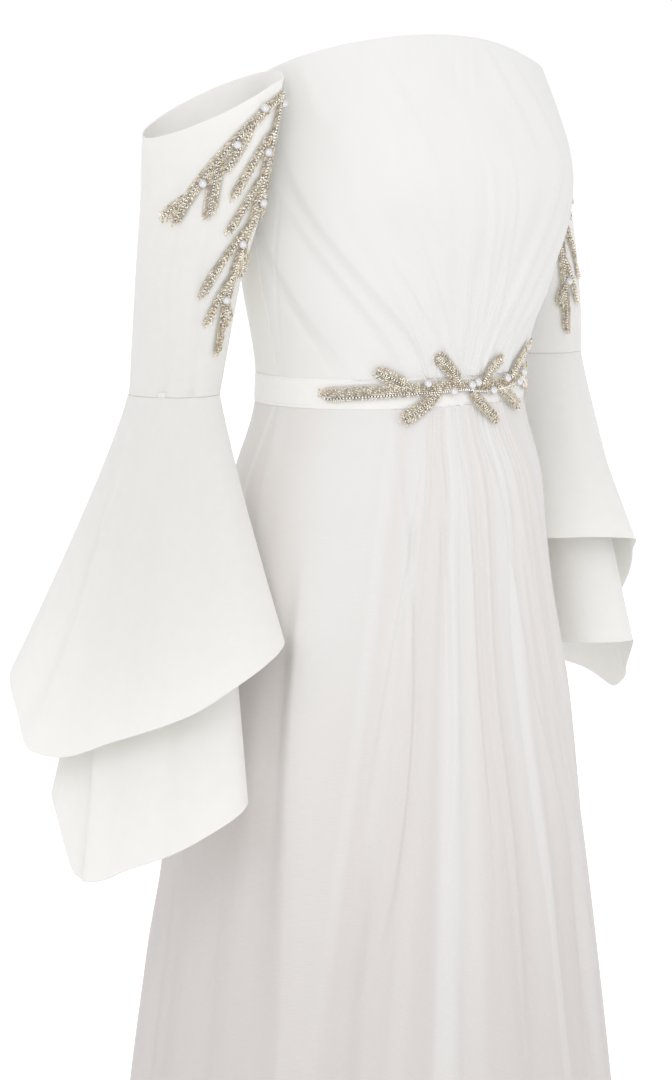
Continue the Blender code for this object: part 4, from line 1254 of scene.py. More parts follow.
def node(tree, kind, inputs=None, **settings):
    """Add a shader node with its settings and inputs."""
    made = tree.nodes.new(kind)
    for key, value in settings.items():
        setattr(made, key, value)
    connect(tree, made, inputs or {})
    return made


def maths(tree, operation, first, second=0.0, clamp=False):
    """Add a maths node and return its value."""
    made = node(tree, "ShaderNodeMath", {0: first, 1: second}, operation=operation, use_clamp=clamp)
    return made.outputs["Value"]


def weighed(tree, first, share, second):
    """Add a sum of two values, weighed by the first one's share, and return it."""
    return maths(tree, "ADD", maths(tree, "MULTIPLY", first, share),
                 maths(tree, "MULTIPLY", second, 1 - share))


def colour_between(tree, share, first, second):
    """Add a mix of two colours, each plain or from a node, by a share and return its colour."""
    ends = [end if isinstance(end, bpy.types.NodeSocket) else (*end, 1) for end in (first, second)]
    blend = node(tree, "ShaderNodeMix", {"Factor": share, "A": ends[0], "B": ends[1]},
                 data_type="RGBA")
    return blend.outputs["Result"]


def shade(colour, factor):
    """Return a colour made darker or lighter by a factor."""
    return tuple(min(1.0, channel * factor) for channel in colour)


def carried(tree, name):
    """Read a number that each point of a mesh carries."""
    return node(tree, "ShaderNodeAttribute", attribute_name=name).outputs["Fac"]


def noise(tree, **inputs):
    """Add fine noise and return its value."""
    return node(tree, "ShaderNodeTexNoise", inputs).outputs["Fac"]


def cloth_place(tree, across, along):
    """Return UV coordinates in metres, scaled along each direction of the cloth."""
    uv = node(tree, "ShaderNodeUVMap", uv_map="Cloth").outputs["UV"]
    place = node(tree, "ShaderNodeMapping", {"Vector": uv, "Scale": (across, along, 1)})
    return place.outputs["Vector"]


def cloth_noise(tree, texture):
    """Add noise that follows the cloth, and return its value."""
    place = cloth_place(tree, texture.across, texture.along)
    return noise(tree, Vector=place, Detail=texture.detail)


def bumped(tree, height, strength, distance):
    """Add a bump of a height and return its normal."""
    bump = node(tree, "ShaderNodeBump",
                {"Height": height, "Strength": strength, "Distance": distance})
    return bump.outputs["Normal"]


def new_finish(name):
    """Make an empty material and return it with its node tree and its Principled shader."""
    material = bpy.data.materials.new(name)
    material.use_nodes = True
    tree = material.node_tree
    return material, tree, tree.nodes["Principled BSDF"]


def crepe_finish(name, colour, sheen, lit_through=0.0):
    """Make matt crepe: a fine pebbled grain, faint slubs and a soft unevenness of tone."""
    material, tree, shader = new_finish(name)
    grain = cloth_noise(tree, CREPE_GRAIN)
    slubs = cloth_noise(tree, CREPE_SLUBS)
    tone = weighed(tree, grain, 0.35, cloth_noise(tree, CREPE_MOTTLE))
    relief = maths(tree, "ADD", grain, maths(tree, "MULTIPLY", slubs, 0.6))
    connect(tree, shader, {
        "Base Color": colour_between(tree, tone, shade(colour, 0.965), shade(colour, 1.02)),
        "Normal": bumped(tree, relief, strength=0.35, distance=0.00012),
        "Roughness": 0.82,
        "Specular IOR Level": 0.25,
        "Sheen Weight": sheen,
        "Sheen Roughness": 0.5,
        "Subsurface Weight": lit_through,
        "Subsurface Radius": (0.0028, 0.0028, 0.0028),
        "Subsurface Scale": 1.0,
    })
    return material


def chiffon_finish(name, colour, lining, sheerness):
    """Make chiffon: fine threads and streaks, with the lining's colour behind single cloth,
    darkened lower down by painted shade.
    """
    material, tree, shader = new_finish(name)
    streaks = cloth_noise(tree, CHIFFON_STREAKS)
    weave = weighed(tree, streaks, 0.6, cloth_noise(tree, CHIFFON_THREADS))
    tone = weighed(tree, weave, 0.55, cloth_noise(tree, CHIFFON_MOTTLE))
    cloth = colour_between(tree, tone, shade(colour, 0.965), shade(colour, 1.025))
    if sheerness:
        dense = maths(tree, "MULTIPLY", weave, THREADS_HIDE)
        closing = maths(tree, "MULTIPLY", carried(tree, "layers"), LAYERS_HIDE)
        through = maths(tree, "POWER", maths(tree, "SUBTRACT", SEEN_THROUGH, dense),
                        maths(tree, "ADD", 1.0, closing), clamp=True)
        # The lining seen through takes painted shade by the share that each point carries as behind
        behind = colour_between(tree, carried(tree, "behind"), lining,
                                shade(lining, LINING_IN_SHADE))
        cloth = colour_between(tree, through, cloth, behind)
        seen_through = maths(tree, "MULTIPLY", through, sheerness)
        connect(tree, shader, {"Alpha": maths(tree, "SUBTRACT", 1.0, seen_through, clamp=True)})
    connect(tree, shader, {
        "Base Color": cloth,
        "Normal": bumped(tree, weave, strength=0.3, distance=0.00012),
        "Roughness": 0.74,
        "Specular IOR Level": 0.3,
        "Sheen Weight": 0.12,
        "Sheen Roughness": 0.4,
    })
    return material


def satin_finish(name, colour):
    """Make smooth satin: fine threads along the cloth and a soft gloss."""
    material, tree, shader = new_finish(name)
    threads = cloth_noise(tree, SATIN_THREADS)
    tone = weighed(tree, threads, 0.4, cloth_noise(tree, SATIN_MOTTLE))
    connect(tree, shader, {
        "Base Color": colour_between(tree, tone, shade(colour, 0.96), shade(colour, 1.02)),
        "Normal": bumped(tree, threads, strength=0.25, distance=0.0001),
        "Roughness": 0.62,
        "Sheen Weight": 0.15,
        "Anisotropic": 0.3,
    })
    return material


def glass_bead_finish(name, colours, metallic, roughness):
    """Make cut glass beads whose tone varies from bead to bead, from a painted dark of shade and
    reflections to a painted white glint.
    """
    material, tree, shader = new_finish(name)
    ramp = node(tree, "ShaderNodeValToRGB", {"Fac": carried(tree, "tone")})
    dark, middle, light = colours
    stops = ramp.color_ramp.elements
    stops[0].color = (*dark, 1)
    stops[1].color = (*light, 1)
    stops.new(0.45).color = (*middle, 1)
    uneven = maths(tree, "MULTIPLY", noise(tree, Scale=900.0, Detail=1.0), 0.12)
    connect(tree, shader, {
        "Base Color": ramp.outputs["Color"],
        "Roughness": maths(tree, "ADD", roughness, uneven),
        "Metallic": metallic,
        "Coat Weight": 0.6,
        "Coat Roughness": 0.08,
    })
    return material


def pearl_finish(name, colour):
    """Make glass pearls: white, softly glossy, with a faint warm cloud."""
    material, tree, shader = new_finish(name)
    cloud = noise(tree, Scale=260.0, Detail=2.0)
    connect(tree, shader, {
        "Base Color": colour_between(tree, cloud, shade(colour, 0.93), shade(colour, 1.03)),
        "Roughness": 0.20,
        "Metallic": 0.35,
        "Coat Weight": 1.0,
        "Coat Roughness": 0.06,
        "Subsurface Weight": 0.15,
        "Subsurface Radius": (0.001, 0.0009, 0.0008),
    })
    return material


def net_finish(name, colour):
    """Make fine net: two sets of slanting threads with open holes between them, its grey also
    painted shade along the beaded arms.
    """
    material, tree, shader = new_finish(name)
    threads = []
    for sign in (1, -1):
        place = cloth_place(tree, NET_THREADS_PER_METRE, sign * NET_THREADS_PER_METRE)
        place = node(tree, "ShaderNodeSeparateXYZ", {"Vector": place}).outputs
        slant = maths(tree, "FRACT", maths(tree, "ADD", place["X"], place["Y"]))
        threads.append(maths(tree, "LESS_THAN", slant, NET_THREAD_SHARE))
    grain = cloth_noise(tree, NET_GRAIN)
    connect(tree, shader, {
        "Base Color": colour_between(tree, grain, shade(colour, 0.85), shade(colour, 1.1)),
        "Alpha": maths(tree, "MULTIPLY", maths(tree, "MAXIMUM", *threads), NET_COVER),
        "Roughness": 0.7,
    })
    return material


def enamel_finish(name, colour):
    """Make the zip's painted metal, worn a little to bare metal in small spots."""
    material, tree, shader = new_finish(name)
    place = node(tree, "ShaderNodeTexCoord").outputs["Object"]
    wear = noise(tree, Vector=place, Scale=900.0, Detail=3.0)
    worn = maths(tree, "GREATER_THAN", wear, WORN_FROM)
    connect(tree, shader, {
        "Base Color": colour_between(tree, worn, colour, BARE_METAL),
        "Metallic": maths(tree, "MULTIPLY", worn, 0.8),
        "Normal": bumped(tree, wear, strength=0.1, distance=0.0001),
        "Roughness": 0.32,
    })
    return material


def paper_finish(name, colour, glow):
    """Make the studio's matt paper, with a faint mottle and a glow that keeps it pale."""
    material, tree, shader = new_finish(name)
    mottle = noise(tree, Scale=3.0)
    connect(tree, shader, {
        "Base Color": colour_between(tree, mottle, shade(colour, 0.99), shade(colour, 1.0)),
        "Roughness": 0.9,
        "Emission Color": (1, 1, 1, 1),
        "Emission Strength": glow,
    })
    return material


class GownCloth(bpy.types.PropertyGroup):
    """Colours and weight of the gown's cloths."""

    crepe_colour: FloatVectorProperty(
        name="Crepe", description="Colour of the sleeves, the flounces and the bodice backs",
        subtype="COLOR", size=3, min=0.0, max=1.0, default=(0.900, 0.886, 0.850))
    # The crepe's wrong side, made paler and warmer than its face as a painted glow of light through
    # the cloth and between the folds
    crepe_reverse_colour: FloatVectorProperty(
        name="Crepe reverse", description="Colour of the crepe's wrong side",
        subtype="COLOR", size=3, min=0.0, max=1.0, default=(0.950, 0.920, 0.862))
    chiffon_colour: FloatVectorProperty(
        name="Skirt chiffon", description="Colour of the sheer skirt",
        subtype="COLOR", size=3, min=0.0, max=1.0, default=(0.836, 0.846, 0.833))
    drape_colour: FloatVectorProperty(
        name="Draped chiffon", description="Colour of the bodice's draped front",
        subtype="COLOR", size=3, min=0.0, max=1.0, default=(0.848, 0.842, 0.828))
    satin_colour: FloatVectorProperty(
        name="Satin", description="Colour of the waistband",
        subtype="COLOR", size=3, min=0.0, max=1.0, default=(0.915, 0.905, 0.887))
    lining_colour: FloatVectorProperty(
        name="Lining", description="Colour of the underskirt below the sheer skirt",
        subtype="COLOR", size=3, min=0.0, max=1.0, default=(0.897, 0.810, 0.785))
    crepe_wall: FloatProperty(
        name="Crepe wall", description="Thickness of the crepe",
        subtype="DISTANCE", unit="LENGTH", min=0.0004, max=0.0012, default=0.0009)
    sheerness: FloatProperty(
        name="Sheerness", description="How far the skirt's chiffon can be seen through",
        subtype="FACTOR", min=0.05, max=0.9, default=0.30)
    pleat_depth: FloatProperty(
        name="Pleat depth",
        description="Depth of the finest pleats, as a share of their usual depth",
        subtype="FACTOR", min=0.0, max=1.5, default=1.0)


class GownBeading(bpy.types.PropertyGroup):
    """Sizes and colours of the beads."""

    row_pitch: FloatProperty(
        name="Row pitch", description="Distance between the slanted rows of beads along a leaf",
        subtype="DISTANCE", unit="LENGTH", min=0.0011, max=0.003, default=0.0015)
    bead_radius: FloatProperty(
        name="Bead radius", description="Radius of a leaf's oval beads",
        subtype="DISTANCE", unit="LENGTH", min=0.0003, max=0.0008, default=0.00064)
    bead_length: FloatProperty(
        name="Bead length", description="Length of a leaf's oval beads",
        subtype="DISTANCE", unit="LENGTH", min=0.001, max=0.004, default=0.0019)
    chain_pitch: FloatProperty(
        name="Chain pitch", description="Distance between the crystals of a chain",
        subtype="DISTANCE", unit="LENGTH", min=0.0018, max=0.004, default=0.0023)
    row_rake_degrees: FloatProperty(
        name="Row rake",
        description="Angle between a row of beads and its leaf's middle, in degrees",
        min=25.0, max=80.0, default=56.0)
    bead_colour: FloatVectorProperty(
        name="Beads", description="Middle colour of the leaves' beads",
        subtype="COLOR", size=3, min=0.0, max=1.0, default=(0.75, 0.63, 0.44))
    pearl_colour: FloatVectorProperty(
        name="Pearls", description="Colour of the pearls",
        subtype="COLOR", size=3, min=0.0, max=1.0, default=(0.74, 0.73, 0.75))
    # The net's own colour, made grey as painted shade along the arms' edges
    net_colour: FloatVectorProperty(
        name="Net", description="Colour of the net below the beads",
        subtype="COLOR", size=3, min=0.0, max=1.0, default=(0.60, 0.575, 0.53))
    seeds_round_pearl: IntProperty(
        name="Seeds round a pearl", description="Number of seed beads in the ring round each pearl",
        min=8, max=20, default=14)


class GownStudio(bpy.types.PropertyGroup):
    """The floor, the lights and the camera."""

    floor_height: FloatProperty(
        name="Floor height", description="Height of the floor below the waist",
        subtype="DISTANCE", unit="LENGTH", max=-1.081, default=-1.09)
    floor_size: FloatProperty(
        name="Floor size", description="Width of the floor",
        subtype="DISTANCE", unit="LENGTH", min=4.0, max=80.0, default=60.0)
    sky_strength: FloatProperty(
        name="Surrounding light", description="Strength of the white light from all round",
        min=0.0, max=4.0, default=0.88)
    key_power: FloatProperty(
        name="Key power", description="Power of the large soft light in front, in watts",
        min=0.0, max=200.0, default=17.5)
    key_size: FloatProperty(
        name="Key size", description="Width of the soft light",
        subtype="DISTANCE", unit="LENGTH", min=0.2, max=5.0, default=2.0)


def strip_mesh(name, angles, heights, behind):
    """Make a narrow strip that lies behind the body's surface, round it or down it."""
    angle, height = np.broadcast_arrays(angles, heights)
    return grid_mesh(name, torso_points(angle, height, -behind))


def seam_down_side(name, side, strip, heights, finish):
    """Add the strip of cloth behind a side seam."""
    wide = strip.half_width / curved(TORSO, heights).half_width
    angles = SIDES[side] * SIDE_SEAM + wide * np.linspace(-1, 1, STRIP_COLUMNS)[None]
    mesh = strip_mesh(f"{name}_{side}", angles, heights, strip.behind)
    return piece(f"{name}_{side}_strip", mesh, finish)


def back_shares(side, grid, fine=0.0):
    """Return a back panel's shares, counted from its side seam, and its rises."""
    share, rise = unit_grid(*GRIDS[grid], fine)
    return (1 - share if SIDES[side] < 0 else share), rise


class MakeBodice(bpy.types.Operator):
    """Drape the bodice front over its lining, and fit the two backs"""

    bl_idname = "gown.make_bodice"
    bl_label = "Bodice"

    def execute(self, context):
        cloth = context.scene.gown_cloth
        chiffon = chiffon_finish("draped_chiffon", cloth.drape_colour, cloth.lining_colour,
                                 sheerness=0.0)
        crepe = crepe_finish("bodice_crepe", cloth.crepe_colour, sheen=0.12, lit_through=0.40)

        share, rise = fan_shares(*GRIDS["bodice_front"])
        points, degrees, height = bodice_front_points(share, rise)
        pleats = pleats_out(BODICE_PLEATS, share, BODICE_FAN[1].share, height)
        out = crease_out(BODICE_CREASES, degrees, height) * calmed(BODICE_CALM, height)
        out = out + pleats * cloth.pleat_depth
        out = out + uneven_out(BODICE_UNEVEN, (share + 1) / 2, rise)
        at_edge = smooth_step(0, BODICE_SIDE_FADE, 1 - np.abs(share))
        at_edge = at_edge * (1 - TOP_EDGE_CALM * smooth_step(TOP_EDGE_CALM_FROM, 1.0, rise))
        points = turned_edge(lifted(points, out * at_edge), at_end=True, reach=TOP_EDGE_REACH)
        front = piece("bodice_front_drape", grid_mesh("bodice_front_drape", points), chiffon,
                      ("bodice_front",))

        u, v = unit_grid(*GRIDS["bodice_lining"])
        angle = mix(-SIDE_SEAM, SIDE_SEAM, u)
        height = mix(BAND_HEIGHT / 2, top_edge(angle) - LINING_BELOW_EDGE, v)
        out = swell_out(BODICE_SWELLS, np.degrees(angle), height) - WALL - LINING_BEHIND_DRAPE
        points = torso_points(angle, height, out)[:, ::-1]
        lining = piece("bodice_front_lining", grid_mesh("bodice_front_lining", points), crepe)

        heights = np.linspace(BAND_HEIGHT / 2, TOP_EDGE_FRONT - TOP_EDGE_FALL, SIDE_STRIP.rows)
        for side, sign in SIDES.items():
            share, rise = back_shares(side, "bodice_back", FINE_ROW)
            points, degrees, height = bodice_back_points(sign, share, rise)
            out = crease_out(BACK_CREASES, degrees, height)
            points = lifted(points, out * between_sides(share, BODICE_BACK_SIDE_FADE))
            name = f"bodice_back_{side}"
            piece(f"{name}_crepe", grid_mesh(name, points), crepe, (name,),
                            cloth.crepe_wall)
            seam_down_side("side_seam", side, SIDE_STRIP, heights[:, None], crepe)
        return {"FINISHED"}


class MakeWaistband(bpy.types.Operator):
    """Make the folded waistband, with a narrow fold line along both edges"""

    bl_idname = "gown.make_waistband"
    bl_label = "Waistband"

    def execute(self, context):
        satin = satin_finish("band_satin", context.scene.gown_cloth.satin_colour)
        share, rise = unit_grid(*GRIDS["waistband"])
        end = BACK_SEAM - SEAM_GAP / 2 / WAIST.back
        half = BAND_HEIGHT / 2 + SEAM_COVER
        height = mix(-half, half, rise)
        from_line = (half - np.abs(height) - BAND_LINE_FROM_EDGE) / BAND_LINE_WIDTH
        crown = BAND_CROWN * (1 - np.abs(2 * rise - 1) ** BAND_CROWN_POWER)
        line = BAND_LINE_DEPTH * np.exp(-from_line ** 2)
        out = BAND_PROUD - BAND_SET_BACK + crown - line + uneven_out(BAND_UNEVEN, share, rise)
        points = torso_points(mix(-end, end, share), height, out)
        band = piece("waistband_satin", grid_mesh("waistband_satin", points), satin,
                     ("waistband",), BAND_WALL - 2 * BAND_SET_BACK)
        reach = BAND_HEIGHT / 2 + WAIST_STRIP.half_width
        mesh = strip_mesh("waist_seam_strip", np.linspace(-end, end, WAIST_STRIP_COLUMNS)[None],
                          np.linspace(-reach, reach, WAIST_STRIP.rows)[:, None], WAIST_STRIP.behind)
        piece("waist_seam_strip", mesh, satin)
        return {"FINISHED"}


def sheer_panel(name, points, out, height, layers, finish):
    """Add a panel of the sheer skirt with its hem, and the numbers that its finish reads."""
    points = turned_edge(lifted(points, out), at_end=False, reach=HEM_REACH)
    # behind carries the share of painted shade on the lining seen through the chiffon
    mesh = grid_mesh(f"{name}_chiffon", points, layers=with_hem_rows(layers, HEM_LAYERS),
                     behind=with_hem_rows(lining_shade_share(height)))
    return piece(f"{name}_chiffon", mesh, finish, (name,))


class MakeSkirt(bpy.types.Operator):
    """Gather the sheer skirt front and hang the two sheer backs, with narrow seams and hems"""

    bl_idname = "gown.make_skirt"
    bl_label = "Skirt"

    def execute(self, context):
        cloth = context.scene.gown_cloth
        chiffon = chiffon_finish("sheer_chiffon", cloth.chiffon_colour, cloth.lining_colour,
                                 cloth.sheerness)

        share, rise = fan_shares(*GRIDS["skirt_front"])
        points, degrees, height = skirt_front_points(share, rise)
        pleats = pleats_out(SKIRT_PLEATS, share, SKIRT_FAN[1].share, -height)
        out = crease_out(SKIRT_CREASES, degrees, -height) * calmed(SKIRT_CALM, -height)
        out = out + pleats * cloth.pleat_depth
        out = out + uneven_out(SKIRT_UNEVEN, (share + 1) / 2, rise) * (-height)
        out = out * smooth_step(0, SKIRT_EDGE_FADE, 1 - np.abs(share))
        layers = doubled_cloth(SKIRT_BANDS, share, height)
        front = sheer_panel("skirt_front", points, out, height, layers, chiffon)

        heights = skirt_height(HEM, np.linspace(0, 1, SKIRT_STRIP.rows))[:, None]
        for side, sign in SIDES.items():
            share, rise = back_shares(side, "skirt_back")
            points, degrees, height = skirt_back_points(sign, share, rise)
            out = crease_out(SKIRT_BACK_CREASES, degrees, -height)
            out = out * calmed(SKIRT_BACK_CALM, -height)
            out = out + uneven_out(SKIRT_BACK_UNEVEN[side], share, rise) * (-height)
            out = out * between_sides(share, SKIRT_EDGE_FADE)
            layers = crease_out(SKIRT_BACK_LAYERS, degrees, -height) + waist_layers(height)
            sheer_panel(f"skirt_back_{side}", points, out, height, layers, chiffon)
            seam_down_side("skirt_seam", side, SKIRT_STRIP, heights, chiffon)
        return {"FINISHED"}


class MakeUnderskirt(bpy.types.Operator):
    """Hang the blush lining skirt, front and back"""

    bl_idname = "gown.make_underskirt"
    bl_label = "Underskirt"

    def execute(self, context):
        cloth = context.scene.gown_cloth
        lining = crepe_finish("blush_lining", cloth.lining_colour, sheen=0.05)
        front_ends = SIDE_SEAM - UNDERSKIRT_TRIM
        back_starts = SIDE_SEAM + UNDERSKIRT_TRIM
        for part, start, end in (("front", -front_ends, front_ends),
                                 ("back", back_starts, 2 * BACK_SEAM - back_starts)):
            name = f"underskirt_{part}"
            points = underskirt_points(start, end, *unit_grid(*GRIDS["underskirt"]))
            piece(f"{name}_lining", grid_mesh(f"{name}_lining", points), lining,
                            (name,), cloth.crepe_wall)
        return {"FINISHED"}


class MakeSleeves(bpy.types.Operator):
    """Make the two off-shoulder sleeves with their soft folds"""

    bl_idname = "gown.make_sleeves"
    bl_label = "Sleeves"

    def execute(self, context):
        cloth = context.scene.gown_cloth
        crepe = crepe_finish("sleeve_crepe", cloth.crepe_colour, sheen=0.15, lit_through=0.65)
        for side in SIDES:
            name = f"sleeve_{side}"
            share, rise = unit_grid(*GRIDS["sleeve"], FINE_ROW)
            degrees = tube_degrees(side, share)
            foot = SLEEVE_LIFT[side] - SEAM_COVER
            points = creased_sleeve(side, degrees, mix(foot, opening_height(side, degrees), rise))
            sleeve = piece(f"{name}_crepe", grid_mesh(f"{name}_crepe", points, tube=True), crepe,
                           (name,), cloth.crepe_wall)
            share, rise = unit_grid(*GRIDS["elbow_seam"])
            reach = ELBOW_STRIP.half_width
            points = sleeve_points(side, tube_degrees(side, share),
                                   SLEEVE_LIFT[side] + mix(-reach, reach, rise), ELBOW_STRIP.behind)
            seam = f"elbow_seam_{side}_strip"
            piece(seam, grid_mesh(seam, points, tube=True), crepe)
        return {"FINISHED"}


class MakeFlounces(bpy.types.Operator):
    """Make the two bell flounces of each sleeve"""

    bl_idname = "gown.make_flounces"
    bl_label = "Flounces"

    def execute(self, context):
        cloth = context.scene.gown_cloth
        crepe = crepe_finish("flounce_crepe", cloth.crepe_colour, sheen=0.15, lit_through=0.65)
        # The flounces' inner side is paler and warmer: a painted glow of light through the cloth
        # and between the folds
        reverse_glow = crepe_finish("flounce_crepe_reverse", cloth.crepe_reverse_colour, sheen=0.05,
                               lit_through=0.90)
        for side in SIDES:
            for tier in ("upper", "lower"):
                name = f"{tier}_flounce_{side}"
                share, rise = unit_grid(*GRIDS["flounce"], FINE_ROW)
                degrees = tube_degrees(side, share)
                points = flounce_points(side, tier, degrees, rise)
                room = smooth_step(SKIRT_CLEARANCE, SKIRT_CLEARANCE + FLOUNCE_FOLD_ROOM,
                                   room_beside_torso(points))
                low = smooth_step(0.0, FLOUNCE_FOLDS_BY, 1 - rise)
                out = crease_out(FLOUNCE_CREASES[side, tier], degrees, rise) * room * low
                mesh = grid_mesh(f"{name}_crepe", lifted(points, out, tube=True), tube=True)
                flounce = piece(f"{name}_crepe", mesh, crepe, (name,),
                                cloth.crepe_wall)
                flounce.data.materials.append(reverse_glow)
                flounce.modifiers["Wall"].material_offset = 1
        return {"FINISHED"}


def sprig_beads(sprig, pearl_centres, beading, rng):
    """Return a sprig's leaf beads, chains of crystals and seed beads, clear of its pearls."""
    beads, chain, seeds = [], [], []
    for index, arm in enumerate(sprig_arms(sprig)):
        is_stem = index < len(sprig.stems)
        aside = sprig.chain_asides[index] if is_stem else 0.0
        begins = STEM_BEGINS if is_stem else LEAF_BEGINS
        rows = bead_rows(arm, beading, aside, rng, begins)
        keep = distance_to(pearl_centres, rows[0]) > PEARL_RADIUS + BEADS_FROM_PEARL
        beads.append([part[keep] for part in rows])
        places = np.arange(begins, arm.length - TIP_BARE, beading.chain_pitch / MILLIMETRE / 2)
        points, heading, half_width = arm_path(arm, places)
        points = points + across_heading(heading) * (aside * half_width)[:, None]
        # Every other link is a small near-black bead, painted shade between the crystals
        bright = np.arange(len(places)) % 2 == 0
        links = np.column_stack([points, np.where(bright, *CRYSTAL_HEIGHTS), bright])
        chain.append(links[distance_to(pearl_centres, points) > PEARL_RADIUS + CHAIN_FROM_PEARL])
        tip, heading, _ = arm_path(arm, np.array([arm.length]))
        past = (TIP_SEEDS_PAST * math.cos(heading[0]), TIP_SEEDS_PAST * math.sin(heading[0]))
        seeds.append(ring_of_seeds(tip[0] + past, TIP_SEEDS))
    ring = PEARL_SEEDS._replace(count=beading.seeds_round_pearl)
    for centre in pearl_centres:
        seeds.append(ring_of_seeds(centre, ring, rng.uniform(0, 1)))
    beads, seeds = ([np.concatenate(parts) for parts in zip(*group)] for group in (beads, seeds))
    return beads, np.concatenate(chain), seeds


def sew_sprig(name, sprig, wrap, flip, finishes, beading):
    """Sew one sprig: its net, oval beads, chains of crystals, pearls and seed beads."""
    rng = np.random.default_rng(SPRIG_SEEDS[name])
    pearl_centres = sprig_pearls(sprig)
    beads, chain, seeds = sprig_beads(sprig, pearl_centres, beading, rng)

    def sew(kind, mesh, replaces=()):
        piece(f"{name}_{kind}", mesh, finishes[kind], replaces)

    def sew_beads(kind, shape, centres, directions, sizes, tones, smooth, replaces=()):
        all_beads = Beads(shape, centres, directions, sizes, tones, smooth)
        sew(kind, bead_mesh(f"{name}_{kind}", all_beads, wrap, flip), replaces)

    sew("net", net_mesh(f"{name}_net", sprig_arms(sprig), wrap, flip))
    sew_beads("beads", "seed", *beads, rng.random(len(beads[0])), False, (name,))
    count = len(chain)
    bright = chain[:, 3] > 0.5
    sizes = np.repeat(np.where(bright, *CRYSTAL_RADII)[:, None], 3, axis=1)
    tones = np.where(bright, *(rng.uniform(*span, count) for span in CRYSTAL_TONES))
    sew_beads("crystals", "crystal", chain[:, :3], rng.uniform(*CRYSTAL_TURNS, count), sizes, tones,
              False)
    centres, sizes = seeds
    count = len(centres)
    sew_beads("seeds", "seed", centres, np.zeros(count), sizes, rng.random(count), True)
    count = len(pearl_centres)
    sew_beads("pearls", "pearl", pearl_centres, np.zeros(count),
              np.full((count, 3), PEARL_RADIUS), np.zeros(count), True)


class MakeSprigs(bpy.types.Operator):
    """Sew the beaded sprigs on the waist and on both sleeves"""

    bl_idname = "gown.make_sprigs"
    bl_label = "Beaded sprigs"

    def execute(self, context):
        beading = context.scene.gown_beading
        colour = tuple(beading.bead_colour)
        # Each bead's tone runs from a painted dark of shade and reflections, through the bead
        # colour, to a painted glint
        bead_tones_and_glints = (shade(colour, 0.42), colour, GLINT)
        seed_tones_and_glints = (shade(colour, 0.6), shade(colour, 1.15), GLINT)
        finishes = {
            "net": net_finish("bead_net", beading.net_colour),
            "beads": glass_bead_finish("champagne_beads", bead_tones_and_glints, metallic=0.68,
                                       roughness=0.14),
            "crystals": glass_bead_finish("silver_crystals", CRYSTAL_SHADE_SILVER_GLINT, metallic=0.85,
                                          roughness=0.06),
            "seeds": glass_bead_finish("champagne_seeds", seed_tones_and_glints, metallic=0.6,
                                       roughness=0.10),
            "pearls": pearl_finish("white_pearls", beading.pearl_colour),
        }
        sew_sprig("waist_sprig", WAIST_SPRIG, wrap_on_waist, False, finishes, beading)
        for side, sign in SIDES.items():
            sew_sprig(f"sleeve_sprig_{side}", SLEEVE_SPRIG,
                      lambda flat, side=side: wrap_on_sleeve(side, flat), sign > 0, finishes,
                      beading)
        return {"FINISHED"}


def wrap_on_zip(flat):
    """Lay flat points down inside the back seam: x across it, y up and z out from its face."""
    flat = flat * MILLIMETRE
    skin = torso_points(BACK_SEAM, flat[:, 1])
    behind = mix(ZIP_BEHIND_BAND, ZIP_BEHIND_CLOTH, smooth_step(*ZIP_LEAVES_BAND, flat[:, 1]))
    return np.stack([-flat[:, 0], skin[:, 1] - behind + flat[:, 2], flat[:, 1]], -1)


class MakeZip(bpy.types.Operator):
    """Lay the zip's tape and teeth behind the back seam, and paint its slider and pull tab"""

    bl_idname = "gown.make_zip"
    bl_label = "Zip"

    def execute(self, context):
        enamel = enamel_finish("zip_enamel", ZIP_COLOUR)
        for name in ("zip_slider", "zip_pull"):
            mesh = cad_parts[name].data
            for index in range(len(mesh.materials)):
                mesh.materials[index] = enamel

        grid = GRIDS["zip_tape"]
        across, along = np.meshgrid(
            np.linspace(-TAPE_HALF_WIDTH, TAPE_HALF_WIDTH, grid.columns + 1),
            np.linspace(ZIP_FOOT, ZIP_HEAD, grid.rows + 1) / MILLIMETRE)
        flat = np.stack([across.ravel(), along.ravel(), across.ravel() * 0 + TAPE_BEHIND_TEETH], -1)
        weave = satin_finish("zip_tape_weave", context.scene.gown_cloth.satin_colour)
        piece("zip_tape", grid_mesh("zip_tape", wrap_on_zip(flat).reshape(*across.shape, 3)), weave)

        heights = np.arange(ZIP_FOOT, ZIP_HEAD - TEETH_BELOW_HEAD, TEETH_PITCH * MILLIMETRE)
        heights = heights / MILLIMETRE
        aside = np.where(np.arange(len(heights)) % 2 == 0, TEETH_ASIDE, -TEETH_ASIDE)
        centres = np.column_stack([aside, heights, heights * 0 + TEETH_DEPTH])
        teeth = Beads("tooth", centres, heights * 0, np.tile(TOOTH_SIZE, (len(heights), 1)),
                      heights * 0, False)
        piece("zip_teeth", bead_mesh("zip_teeth", teeth, wrap_on_zip),
              enamel_finish("zip_teeth_nylon", TEETH_COLOUR))
        return {"FINISHED"}


def add_to_studio(name, shape, finish):
    """Add a part of the studio that the camera sees and that sends no light on the gown."""
    mesh = bpy.data.meshes.new(name)
    shape.to_mesh(mesh)
    shape.free()
    mesh.materials.append(finish)
    stage = bpy.data.objects.new(name, mesh)
    stage.visible_diffuse = False
    stage.visible_transmission = False
    bpy.context.scene.collection.objects.link(stage)
    return stage


def add_lamp(lamp, power, size):
    """Add a soft round light that shines at the waist."""
    data = bpy.data.lights.new(lamp.name, "AREA")
    data.shape = "DISK"
    data.size = size * lamp.size
    data.energy = power * lamp.power
    light = bpy.data.objects.new(lamp.name, data)
    light.location = lamp.place
    light.rotation_euler = (-Vector(lamp.place)).to_track_quat("-Z", "Y").to_euler()
    bpy.context.scene.collection.objects.link(light)


